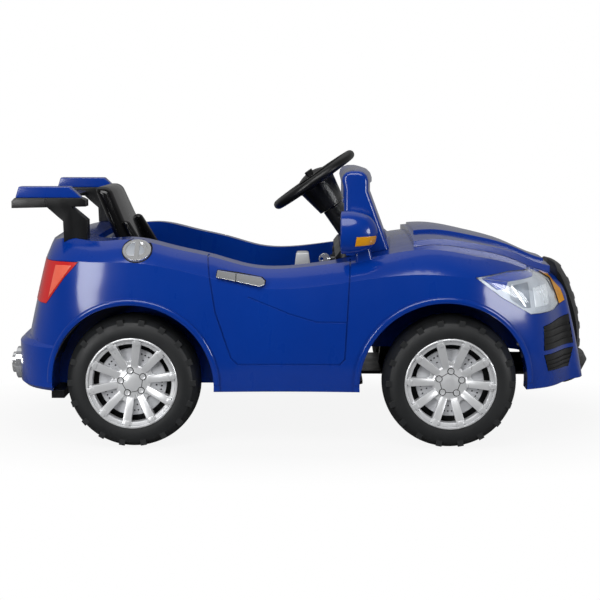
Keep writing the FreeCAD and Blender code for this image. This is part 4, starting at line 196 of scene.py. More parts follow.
class Surface(ShaderNodes):
    """One material's nodes, all read on Object coordinates."""

    def __init__(self, name: str) -> None:
        """Starts a material with its shader and its coordinates.

        Args:
            name: the material's name.
        """
        self.material = bpy.data.materials.new(name)
        self.material.use_nodes = True
        super().__init__(self.material.node_tree)
        self.shader = self.tree.nodes["Principled BSDF"]
        self.coordinates = self.add("TexCoord").outputs["Object"]

    def stretched(self, stretch: Point) -> Socket:
        """Gives the coordinates scaled along each axis."""
        return self.add("Mapping", {"Scale": stretch, "Vector": self.coordinates}).outputs["Vector"]

    def noise(self, scale: float, detail: float = 3.0, stretch: Point = EVEN) -> Socket:
        """Adds soft noise, with values of about 0 to 1."""
        inputs = {"Scale": scale, "Detail": detail, "Vector": self.stretched(stretch)}
        return self.add("TexNoise", inputs).outputs["Fac"]

    def cells(self, scale: float, stretch: Point) -> Socket:
        """Adds a cell pattern and gives the distance from each cell's middle."""
        return self.add("TexVoronoi", {"Scale": scale, "Vector": self.stretched(stretch)}).outputs["Distance"]

    def tint(self, share: Socket, low: Socket | Colour, high: Colour) -> Socket:
        """Mixes towards a colour.

        Args:
            share: how much of the second colour shows.
            low: the first colour, or a socket that gives it.
            high: the second colour.

        Returns:
            The mixed colour.
        """
        first = (*low, 1.0) if isinstance(low, tuple) else low
        inputs = {"Factor": share, "A": first, "B": (*high, 1.0)}
        return self.add("Mix", inputs, data_type="RGBA").outputs["Result"]

    def edges(self, eased: Socket) -> Socket:
        """Finds the sharp edges, where handling rubs a finish thin.

        Args:
            eased: a normal that is eased across edges.

        Returns:
            About 1 along sharp edges and 0 elsewhere.
        """
        plain = self.add("NewGeometry").outputs["Normal"]
        agreement = self.add("VectorMath", {0: eased, 1: plain}, operation="DOT_PRODUCT")
        return self.spread(agreement.outputs["Value"], EDGE_SPAN, NONE_TO_ALL)

    def bump(self, height: Socket, rise: float, under: Socket | None) -> Socket:
        """Turns a height into a normal.

        Args:
            height: the height, 0 to 1.
            rise: what 1 stands for, in metres.
            under: a normal that this one is laid over, if there is one.

        Returns:
            The normal.
        """
        node = self.add("Bump", {"Strength": 1.0, "Distance": rise, "Height": height})
        if under is not None:
            self.wire(node, {"Normal": under})
        return node.outputs["Normal"]


@dataclass(frozen=True)
class Finish:
    """How one kind of surface looks: colour, gloss, fine relief and wear."""

    name: str
    colour: Colour
    drift: Colour               # the colour that it wanders towards in patches
    roughness: Pair
    relief: Relief
    pitch: float                # repeats of the relief in a metre
    rise: float                 # height of the relief in metres
    metallic: float = 0.0
    coat: float = 0.0
    specular: float = 0.5
    transmission: float = 0.0
    ior: float = 1.5
    worn: Colour = (0.5, 0.5, 0.5)
    wear: float = 0.15          # how far edges go towards the worn colour
    patches: float = 7.0        # repeats of the colour's wandering in a metre
    line_axis: Point = EVEN     # how the relief is drawn out along each axis

    def height(self, surface: Surface) -> Socket:
        """Adds the relief that this finish carries.

        Args:
            surface: the material that takes it.

        Returns:
            The height, about 0 to 1.
        """
        if self.relief in (Relief.GRAIN, Relief.PRISM):
            return surface.cells(self.pitch, self.line_axis)
        octaves = FLAKE_DETAIL if self.relief is Relief.FLAKE else RELIEF_DETAIL
        return surface.noise(self.pitch, octaves, self.line_axis)

    def material(self) -> bpy.types.Material:
        """Builds the finish, once for each name.

        Returns:
            The material.
        """
        known = bpy.data.materials.get(self.name)
        if known is not None:
            return known
        surface = Surface(self.name)
        height = self.height(surface)
        patch = surface.spread(surface.noise(self.patches, PATCH_DETAIL), PATCH_SPAN, NONE_TO_ALL)
        colour = surface.tint(patch, self.colour, self.drift)
        if self.relief is Relief.FLAKE:
            bright = tuple(min(1.0, part * FLAKE_GAIN + FLAKE_LIFT) for part in self.colour)
            colour = surface.tint(surface.spread(height, FLAKE_SPAN, FLAKE_SHARE), colour, bright)
        eased = None
        if self.wear > 0.0:
            eased = surface.add("Bevel", {"Radius": EDGE_EASING}).outputs["Normal"]
            rub = surface.spread(surface.noise(RUB_PITCH, RUB_DETAIL), RUB_SPAN, (0.0, self.wear))
            colour = surface.tint(surface.maths("MULTIPLY", surface.edges(eased), rub), colour, self.worn)
        smear = surface.noise(SMEAR_PITCH, SMEAR_DETAIL, SMEAR_RUN)
        surface.wire(surface.shader, {
            "Base Color": colour, "Roughness": surface.spread(smear, SMEAR_SPAN, self.roughness),
            "Normal": surface.bump(height, self.rise, eased), "Metallic": self.metallic,
            "Coat Weight": self.coat, "Coat Roughness": COAT_ROUGHNESS, "Specular IOR Level": self.specular,
            "Transmission Weight": self.transmission, "IOR": self.ior,
        })
        return surface.material


BODY_BLUE = Finish(
    "sprayed_blue", (0.0008, 0.035, 0.29), (0.0007, 0.030, 0.26), (0.26, 0.36), Relief.FLAKE, 2600.0,
    0.003 * MM, coat=1.0, specular=0.1, worn=(0.02, 0.08, 0.36), wear=0.3, patches=4.0,
)
BLACK_MOULDING = Finish(
    "black_moulding", (0.0055, 0.0058, 0.0064), (0.008, 0.0083, 0.009), (0.26, 0.40), Relief.GRAIN, 1500.0,
    0.02 * MM, specular=0.4, worn=(0.05, 0.05, 0.055), wear=0.4,
)
GLOSS_BLACK = Finish(
    "gloss_black", (0.004, 0.004, 0.0045), (0.006, 0.006, 0.0065), (0.10, 0.2), Relief.PEEL, 500.0,
    0.01 * MM, worn=(0.05, 0.05, 0.055), wear=0.3,
)
# painted shade: a near-black finish for sheets laid where gaps and grooves lie in shadow
SHADOW_GAP = Finish(
    "gasket_rubber", (0.004, 0.004, 0.0045), (0.007, 0.007, 0.0075), (0.6, 0.8), Relief.GRAIN, 1400.0,
    0.02 * MM, specular=0.2, wear=0.0,
)
TYRE_BLACK = Finish(
    "tyre_moulding", (0.0105, 0.0115, 0.0125), (0.0145, 0.0155, 0.0165), (0.46, 0.62), Relief.GRAIN, 900.0,
    0.05 * MM, specular=0.4, worn=(0.06, 0.06, 0.06), wear=0.5,
)
WHEEL_SILVER = Finish(
    "wheel_silver", (0.74, 0.75, 0.765), (0.68, 0.69, 0.705), (0.26, 0.36), Relief.PEEL, 900.0,
    0.004 * MM, metallic=0.42, coat=0.3, worn=(0.8, 0.81, 0.82), wear=0.25,
)
DISC_SILVER = Finish(
    "disc_silver", (0.36, 0.37, 0.38), (0.31, 0.32, 0.33), (0.40, 0.52), Relief.BRUSHED, 900.0,
    0.008 * MM, metallic=0.4, worn=(0.55, 0.55, 0.55), wear=0.2, line_axis=(0.1, 1.0, 1.0),
)
CHROME = Finish(
    "chrome_plating", (0.80, 0.81, 0.82), (0.74, 0.75, 0.77), (0.06, 0.13), Relief.PEEL, 240.0,
    0.006 * MM, metallic=0.76, worn=(0.9, 0.9, 0.9), wear=0.1,
)
CLEAR_LENS = Finish(
    "clear_lens", (0.97, 0.98, 0.99), (0.93, 0.95, 0.97), (0.02, 0.05), Relief.PEEL, 160.0,
    0.004 * MM, transmission=1.0, ior=1.35, wear=0.0,
)
REFLECTOR = Finish(
    "lamp_reflector", (0.52, 0.55, 0.59), (0.32, 0.35, 0.40), (0.40, 0.55), Relief.BRUSHED, 260.0,
    0.06 * MM, metallic=0.5, wear=0.0, patches=22.0, line_axis=(1.0, 0.1, 0.1),
)
GRILLE_BLACK = Finish(
    "grille_mesh", (0.010, 0.010, 0.011), (0.005, 0.005, 0.006), (0.30, 0.46), Relief.PRISM, 420.0,
    0.5 * MM, worn=(0.05, 0.05, 0.05), wear=0.3, patches=24.0, line_axis=(0.2, 1.0, 1.0),
)
DARK_BOWL = Finish(
    "lamp_bowl", (0.30, 0.33, 0.37), (0.15, 0.17, 0.21), (0.42, 0.56), Relief.PRISM, 220.0,
    0.12 * MM, metallic=0.4, worn=(0.7, 0.72, 0.75), wear=0.4, patches=26.0,
)
LAMP_CUP = Finish(
    "lamp_cup", (0.74, 0.77, 0.80), (0.60, 0.64, 0.68), (0.22, 0.34), Relief.PRISM, 300.0,
    0.10 * MM, metallic=0.7, worn=(0.95, 0.96, 0.97), wear=0.4, patches=30.0, line_axis=(1.0, 0.2, 0.2),
)
AMBER_LENS = Finish(
    "amber_lens", (0.74, 0.33, 0.012), (0.60, 0.24, 0.008), (0.12, 0.22), Relief.PRISM, 330.0,
    0.30 * MM, coat=0.4, worn=(0.92, 0.55, 0.1), wear=0.2, patches=30.0, line_axis=(0.25, 0.25, 1.0),
)
RED_LENS = Finish(
    "red_lens", (0.33, 0.004, 0.005), (0.22, 0.003, 0.004), (0.08, 0.16), Relief.PRISM, 260.0,
    0.10 * MM, coat=0.7, worn=(0.75, 0.05, 0.04), wear=0.25, patches=16.0,
)
# painted highlight: a bright salmon red for the lit patch of each tail lamp
PAINTED_HIGHLIGHT_RED = Finish(
    "inner_red_lens", (0.90, 0.17, 0.10), (0.80, 0.10, 0.06), (0.14, 0.24), Relief.PRISM, 420.0,
    0.14 * MM, coat=0.5, worn=(0.9, 0.25, 0.15), wear=0.3, patches=24.0,
)
MIRROR_FILM = Finish(
    "mirror_film", (0.80, 0.83, 0.86), (0.74, 0.77, 0.80), (0.02, 0.05), Relief.PEEL, 90.0,
    0.01 * MM, metallic=1.0, wear=0.0,
)
BRIGHT_STEEL = Finish(
    "bright_steel", (0.46, 0.46, 0.47), (0.38, 0.38, 0.39), (0.28, 0.42), Relief.BRUSHED, 1200.0,
    0.01 * MM, metallic=0.95, worn=(0.6, 0.6, 0.6), wear=0.3, line_axis=(1.0, 0.08, 1.0),
)
GREY_MOULDING = Finish(
    "grey_moulding", (0.085, 0.088, 0.092), (0.070, 0.072, 0.076), (0.40, 0.55), Relief.GRAIN, 1300.0,
    0.03 * MM, worn=(0.2, 0.2, 0.2), wear=0.3,
)
SLOT_FINISHES: dict[str, Finish] = {
    "body_paint": BODY_BLUE, "black_plastic": BLACK_MOULDING, "tyre": TYRE_BLACK, "silver": WHEEL_SILVER,
    "disc_silver": DISC_SILVER, "chrome": CHROME, "clear": CLEAR_LENS, "reflector": REFLECTOR,
    "amber": AMBER_LENS, "red_lens": RED_LENS, "mirror_glass": MIRROR_FILM, "steel": BRIGHT_STEEL,
    "grey_plastic": GREY_MOULDING,
}
NODE_SLOTS: dict[str, str] = {part["node"]: part["material_slot"] for part in frame["record"]["subparts"]}


def pick_only(piece: Piece) -> None:
    """Selects one piece and nothing else.

    Args:
        piece: the piece.
    """
    bpy.ops.object.select_all(action="DESELECT")
    piece.select_set(True)
    bpy.context.view_layer.objects.active = piece


@contextmanager
def editing(piece: Piece, whole: bool = False) -> Iterator[None]:
    """Opens a piece in edit mode and closes it again.

    Args:
        piece: the piece to edit.
        whole: True starts with all of it selected, False with nothing.
    """
    pick_only(piece)
    bpy.ops.object.mode_set(mode="EDIT")
    bpy.ops.mesh.select_all(action="SELECT" if whole else "DESELECT")
    yield
    bpy.ops.object.mode_set(mode="OBJECT")


def select_points(piece: Piece, test: Callable[[Vector], bool]) -> None:
    """Selects points of a piece that is open in edit mode.

    Args:
        piece: the piece.
        test: takes a point's place and says whether it is wanted.
    """
    mesh = bmesh.from_edit_mesh(piece.data)
    for point in mesh.verts:
        point.select_set(test(point.co))
    mesh.select_flush_mode()
    bmesh.update_edit_mesh(piece.data)


def select_faces(piece: Piece, test: Callable[[Vector, Vector], bool]) -> None:
    """Selects faces of a piece that is open in edit mode.

    Args:
        piece: the piece.
        test: takes a face's middle and normal and says whether it is wanted.
    """
    mesh = bmesh.from_edit_mesh(piece.data)
    for face in mesh.faces:
        face.select_set(test(face.calc_center_median(), face.normal))
    bmesh.update_edit_mesh(piece.data)


def settle(piece: Piece, name: str) -> Piece:
    """Names a piece and moves its place into its mesh.

    Args:
        piece: the piece.
        name: its name.

    Returns:
        The piece.
    """
    pick_only(piece)
    piece.name = name
    piece.data.name = name
    bpy.ops.object.transform_apply(location=True, rotation=True, scale=True)
    return piece


def shaped(piece: Piece, kind: str, **values: object) -> None:
    """Adds one modifier, sets its values and applies it.

    Args:
        piece: the piece that it shapes.
        kind: the kind of modifier.
        values: what is set on it.
    """
    pick_only(piece)
    made = piece.modifiers.new(kind.lower(), kind)
    for key, value in values.items():
        setattr(made, key, value)
    bpy.ops.object.modifier_apply(modifier=made.name)


def cut_below(level: float, fill: bool) -> None:
    """Cuts off what lies below a level, of the piece that is open in edit mode; fill closes the cut."""
    bpy.ops.mesh.select_all(action="SELECT")
    bpy.ops.mesh.bisect(plane_co=(0.0, 0.0, level), plane_no=DOWN, clear_outer=True, use_fill=fill)


def turn_outwards(piece: Piece) -> None:
    """Makes every face of a closed mesh point outwards."""
    with editing(piece, whole=True):
        bpy.ops.mesh.normals_make_consistent(inside=False)


def smooth(piece: Piece, degrees: float) -> None:
    """Shades a piece smooth except across edges sharper than an angle."""
    pick_only(piece)
    bpy.ops.object.shade_smooth_by_angle(angle=math.radians(degrees))


def round_edges(piece: Piece, width: float, steps: int = 2, degrees: float = 35.0) -> None:
    """Rounds the sharp edges of a piece and shades it smooth.

    Args:
        piece: the piece.
        width: how far from the edge the rounding starts.
        steps: faces across the rounding.
        degrees: edges sharper than this are rounded.
    """
    limit = math.radians(degrees)
    shaped(piece, "BEVEL", width=width, segments=steps, limit_method="ANGLE", angle_limit=limit)
    smooth(piece, ROUNDED_ANGLE)


def body_of(node: str) -> str:
    """Gives the body that a CAD node belongs to."""
    groups = frame["record"]["behaviour"]["bodies"]
    return next(body for body, members in groups.items() if node in members)


def dress(piece: Piece, body: str, slot: str, *nodes: str, finish: Finish | None = None) -> None:
    """Gives a piece its finish, its body and the nodes that it stands for.

    Args:
        piece: the piece.
        body: the body that it rides on.
        slot: the record's slot for its finish.
        nodes: CAD nodes that it replaces.
        finish: a finish other than the slot's own.
    """
    piece.data.materials.clear()
    piece.data.materials.append((finish or SLOT_FINISHES[slot]).material())
    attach(piece, body)
    if nodes:
        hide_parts(*nodes)
    LOG.info("%s: %d faces on %s", piece.name, len(piece.data.polygons), body)


def own_copy(thing: Piece, name: str) -> Piece:
    """Copies an object with a mesh of its own.

    Args:
        thing: the object.
        name: the copy's name.

    Returns:
        The copy.
    """
    copy = bpy.data.objects.new(name, thing.data.copy())
    bpy.context.scene.collection.objects.link(copy)
    return copy


def node_copy(node: str, name: str) -> Piece:
    """Copies a CAD node into a mesh of its own, with its points and flat faces joined.

    Args:
        node: the CAD node.
        name: the copy's name.

    Returns:
        The copy.
    """
    piece = own_copy(frame["nodes"][node], name)
    pick_only(piece)
    bpy.ops.mesh.customdata_custom_splitnormals_clear()
    with editing(piece, whole=True):
        bpy.ops.mesh.remove_doubles(threshold=JOIN_WITHIN)
    with editing(piece, whole=True):
        bpy.ops.mesh.dissolve_limited(angle_limit=math.radians(FLAT_WITHIN))
    return piece


def left_copy(piece: Piece, name: str) -> Piece:
    """Makes the left-hand mirror image of a right-hand piece, with its own mesh.

    Args:
        piece: the right-hand piece.
        name: the copy's name.

    Returns:
        The left-hand piece.
    """
    copy = own_copy(piece, name)
    copy.scale.y = -1.0
    settle(copy, name)
    turn_outwards(copy)
    return copy


def both_sides(
    piece: Piece, slot: str, *nodes: str, finish: Finish | None = None, mark: str = "_right",
) -> None:
    """Dresses a right-hand piece of the body and its left-hand mirror image.

    Args:
        piece: the right-hand piece, under the name that both share.
        slot: the record's slot for their finish.
        nodes: CAD nodes that the two replace.
        finish: a finish other than the slot's own.
        mark: what the right-hand piece's name ends with.
    """
    name = piece.name
    other = left_copy(piece, name + "_left")
    piece.name = name + mark
    dress(piece, "chassis", slot, *nodes, finish=finish)
    dress(other, "chassis", slot, finish=finish)


def new_box(name: str, low: Point, high: Point) -> Piece:
    """Adds a cube between two corners.

    Args:
        name: its name.
        low: its lowest corner.
        high: its highest corner.

    Returns:
        The cube.
    """
    bpy.ops.object.select_all(action="DESELECT")
    bpy.ops.mesh.primitive_cube_add(size=1.0, location=(Vector(low) + Vector(high)) / 2)
    piece = bpy.context.object
    piece.scale = Vector(high) - Vector(low)
    return settle(piece, name)


def new_rod(name: str, radius: float, length: float, middle: Point, sides: int) -> Piece:
    """Adds a cylinder that lies across the car.

    Args:
        name: its name.
        radius: its radius.
        length: its length along y.
        middle: its middle.
        sides: points round each end.

    Returns:
        The cylinder.
    """
    bpy.ops.object.select_all(action="DESELECT")
    bpy.ops.mesh.primitive_cylinder_add(
        vertices=sides, radius=radius, depth=length, location=middle, rotation=(QUARTER_TURN, 0.0, 0.0),
    )
    return settle(bpy.context.object, name)


def new_ring(name: str, radius: float, middle: Point, points: int) -> Piece:
    """Adds a circle that faces across the car.

    Args:
        name: its name.
        radius: its radius.
        middle: its middle.
        points: how many points it has.

    Returns:
        The circle.
    """
    bpy.ops.object.select_all(action="DESELECT")
    bpy.ops.mesh.primitive_circle_add(
        vertices=points, radius=radius, location=middle, rotation=(QUARTER_TURN, 0.0, 0.0),
    )
    return settle(bpy.context.object, name)


def new_grid(name: str, size: Pair, step: float, middle: Point, facing: float = 0.0) -> Piece:
    """Adds an upright grid.

    Args:
        name: its name.
        size: its width and height.
        step: about how far apart its points lie.
        middle: its middle.
        facing: how far it is turned about z, from facing the right.

    Returns:
        The grid.
    """
    across, upward = (max(2, round(side / step)) for side in size)
    bpy.ops.object.select_all(action="DESELECT")
    bpy.ops.mesh.primitive_grid_add(
        x_subdivisions=across, y_subdivisions=upward, size=1.0, location=middle,
        rotation=(QUARTER_TURN, 0.0, facing),
    )
    piece = bpy.context.object
    piece.scale = (*size, 1.0)
    return settle(piece, name)


def turned(name: str, profile: Outline, hollow: bool, segments: int = 96) -> Piece:
    """Makes a turned piece about the y axis from a ring that is extruded along a profile.

    Args:
        name: the piece's name.
        profile: (radius, distance towards -y) of each ring in turn.
        hollow: True joins the last ring to the first, False fills both ends.
        segments: points round each ring.

    Returns:
        The piece, about the origin.
    """
    radius, out = profile[0]
    piece = new_ring(name, radius, (0.0, -out, 0.0), segments)
    with editing(piece, whole=True):
        for next_radius, next_out in profile[1:]:
            bpy.ops.mesh.extrude_region_move(TRANSFORM_OT_translate={"value": (0.0, out - next_out, 0.0)})
            share = next_radius / radius
            bpy.ops.transform.resize(value=(share, 1.0, share), center_override=(0.0, -next_out, 0.0))
            radius, out = next_radius, next_out
        bpy.ops.mesh.select_all(action="DESELECT")
        bpy.ops.mesh.select_non_manifold()
        if hollow:
            bpy.ops.mesh.bridge_edge_loops()
        else:
            bpy.ops.mesh.fill_holes(sides=0)
    turn_outwards(piece)
    return piece


def spun_copies(piece: Piece, count: int, start: float) -> list[Piece]:
    """Copies a piece round the y axis, each copy with its own mesh, and removes the first.

    Args:
        piece: the piece, which stands at no turn.
        count: how many copies go round.
        start: turn of the first copy in degrees, from +x towards +z.

    Returns:
        The copies.
    """
    copies = []
    for number in range(count):
        copy = own_copy(piece, piece.name)
        copy.rotation_euler = (0.0, -math.radians(start + 360.0 / count * number), 0.0)
        copies.append(settle(copy, piece.name))
    bpy.data.objects.remove(piece)
    return copies


def joined(name: str, pieces: Sequence[Piece]) -> Piece:
    """Joins pieces into one.

    Args:
        name: the name of the whole.
        pieces: what is joined.

    Returns:
        The whole.
    """
    pick_only(pieces[0])
    for piece in pieces[1:]:
        piece.select_set(True)
    bpy.ops.object.join()
    return settle(bpy.context.object, name)


def drill(piece: Piece, tool: Piece) -> None:
    """Takes a tool's shape out of a piece and removes the tool."""
    shaped(piece, "BOOLEAN", object=tool, operation="DIFFERENCE")
    bpy.data.objects.remove(tool)


def middle_of(outline: Outline) -> Vector:
    """Gives the mean of an outline's corners."""
    return sum(map(Vector, outline), Vector((0.0, 0.0))) / len(outline)


def side_outline(node: str, grow: float = 0.0) -> list[Pair]:
    """Gives the convex outline of the right-hand part of a CAD node in side view.

    Args:
        node: the CAD node.
        grow: how far the outline is moved out from the node's own.

    Returns:
        The (x, z) corners of the outline, one way round.
    """
    thing = frame["nodes"][node]
    places = [thing.matrix_world @ point.co for point in thing.data.vertices]
    right = [place.xz for place in places if place.y < 0.0]
    points = sorted({tuple(round(way, OUTLINE_PLACES) for way in place) for place in right})
    outline: list[Pair] = []
    for row in (points, points[::-1]):
        edge: list[Pair] = []
        for point in row:
            corner = Vector(point)
            while len(edge) > 1 and geometry.area_tri(Vector(edge[-2]), Vector(edge[-1]), corner) < LINE_AREA:
                edge.pop()
            while len(edge) > 1:
                last = Vector(edge[-2])
                if (Vector(edge[-1]) - last).cross(corner - last) > 0.0:
                    break
                edge.pop()
            edge.append(point)
        outline += edge[:-1]
    middle = middle_of(outline)
    return [tuple(Vector(corner) + (Vector(corner) - middle).normalized() * grow) for corner in outline]


def side_sheet(name: str, outline: Outline, step: float, margin: float = 0.0) -> Piece:
    """Makes a flat sheet with a convex outline in side view, to the right of the car.

    Args:
        name: the sheet's name.
        outline: its (x, z) corners.
        step: about how far apart its points lie.
        margin: how far its edge stays inside the outline.

    Returns:
        The sheet, with its faces towards the right.
    """
    low = Vector((min(x for x, _ in outline), -SHEET_OUT, min(z for _, z in outline)))
    high = Vector((max(x for x, _ in outline), -SHEET_OUT, max(z for _, z in outline)))
    size = high - low
    piece = new_grid(name, (size.x, size.z), step, (low + high) / 2)
    middle = Vector((sum(x for x, _ in outline), 0.0, sum(z for _, z in outline))) / len(outline)
    with editing(piece):
        for (x0, z0), (x1, z1) in zip(outline, (*outline[1:], outline[0])):
            out = Vector((z1 - z0, 0.0, x0 - x1)).normalized()
            corner = Vector((x0, -SHEET_OUT, z0))
            if out.dot(Vector((x0, 0.0, z0)) - middle) < 0.0:
                out = -out
            bpy.ops.mesh.select_all(action="SELECT")
            bpy.ops.mesh.bisect(plane_co=corner - out * margin, plane_no=out, clear_outer=True)
    return piece


def press_on(piece: Piece, target: Piece) -> None:
    """Presses a sheet from the right on to what carries it, and drops points that miss that or go past it.

    Args:
        piece: the sheet.
        target: what carries it.
    """
    start = min(point.co.y for point in piece.data.vertices)
    shaped(
        piece, "SHRINKWRAP", wrap_method="PROJECT", target=target, use_project_x=False,
        use_project_y=True, use_project_z=False, use_positive_direction=True, use_negative_direction=False,
    )
    near = min(point.co.y for point in piece.data.vertices if point.co.y > start + TOUCH)
    with editing(piece):
        select_points(piece, lambda place: place.y < start + TOUCH or place.y > near + FAR_SIDE)
        bpy.ops.mesh.delete(type="VERT")


def swell(piece: Piece, outline: Outline, rise: float, run: float) -> None:
    """Raises a pressed sheet from its edge towards its middle.

    Args:
        piece: the sheet.
        outline: the (x, z) corners of its edge.
        rise: how far its middle comes out.
        run: how far from the edge the full rise is reached.
    """
    group = piece.vertex_groups.new(name="swell")
    for point in piece.data.vertices:
        place = Vector((point.co.x, point.co.z))
        edge = min(
            (place - geometry.intersect_point_line(place, Vector(a), Vector(b))[0].to_2d()).length
            for a, b in zip(outline, (*outline[1:], outline[0]))
        )
        share = min(1.0, edge / run)
        group.add([point.index], math.sin(share * math.pi / 2), "REPLACE")
    shaped(piece, "DISPLACE", strength=rise, mid_level=0.0, direction="NORMAL", vertex_group="swell")


def patch_on(
    name: str, outline: Outline, target: Piece, step: float, thickness: float, rounding: float = 0.0,
    lift: float = THIN_LIFT,
) -> Piece:
    """Lays a thin patch on the right-hand face of what carries it.

    Args:
        name: the patch's name.
        outline: its (x, z) corners.
        target: what carries it.
        step: about how far apart its points lie.
        thickness: how thick it is.
        rounding: how far its edges are rounded, if they are.
        lift: how far its back stands off what carries it.

    Returns:
        The patch.
    """
    piece = side_sheet(name, outline, step)
    press_on(piece, target)
    shaped(piece, "DISPLACE", strength=lift, mid_level=0.0, direction="NORMAL")
    shaped(piece, "SOLIDIFY", thickness=thickness, offset=1.0)
    turn_outwards(piece)
    if rounding > 0.0:
        round_edges(piece, rounding, degrees=PATCH_ANGLE)
    return piece


@dataclass
class PlainNodes:
    """CAD nodes whose shape is right: each keeps its mesh and takes a finish."""

    glossy_node: str = "steering_hub_pad"       # the one node that is glossier than its slot

    def build(self) -> None:
        """Gives every node its slot's finish, or the glossy one."""
        for node, thing in sorted(frame["nodes"].items()):
            finish = GLOSS_BLACK if node == self.glossy_node else SLOT_FINISHES[NODE_SLOTS[node]]
            thing.data.materials.clear()
            thing.data.materials.append(finish.material())
            LOG.info("%s: CAD node in %s", node, finish.name)


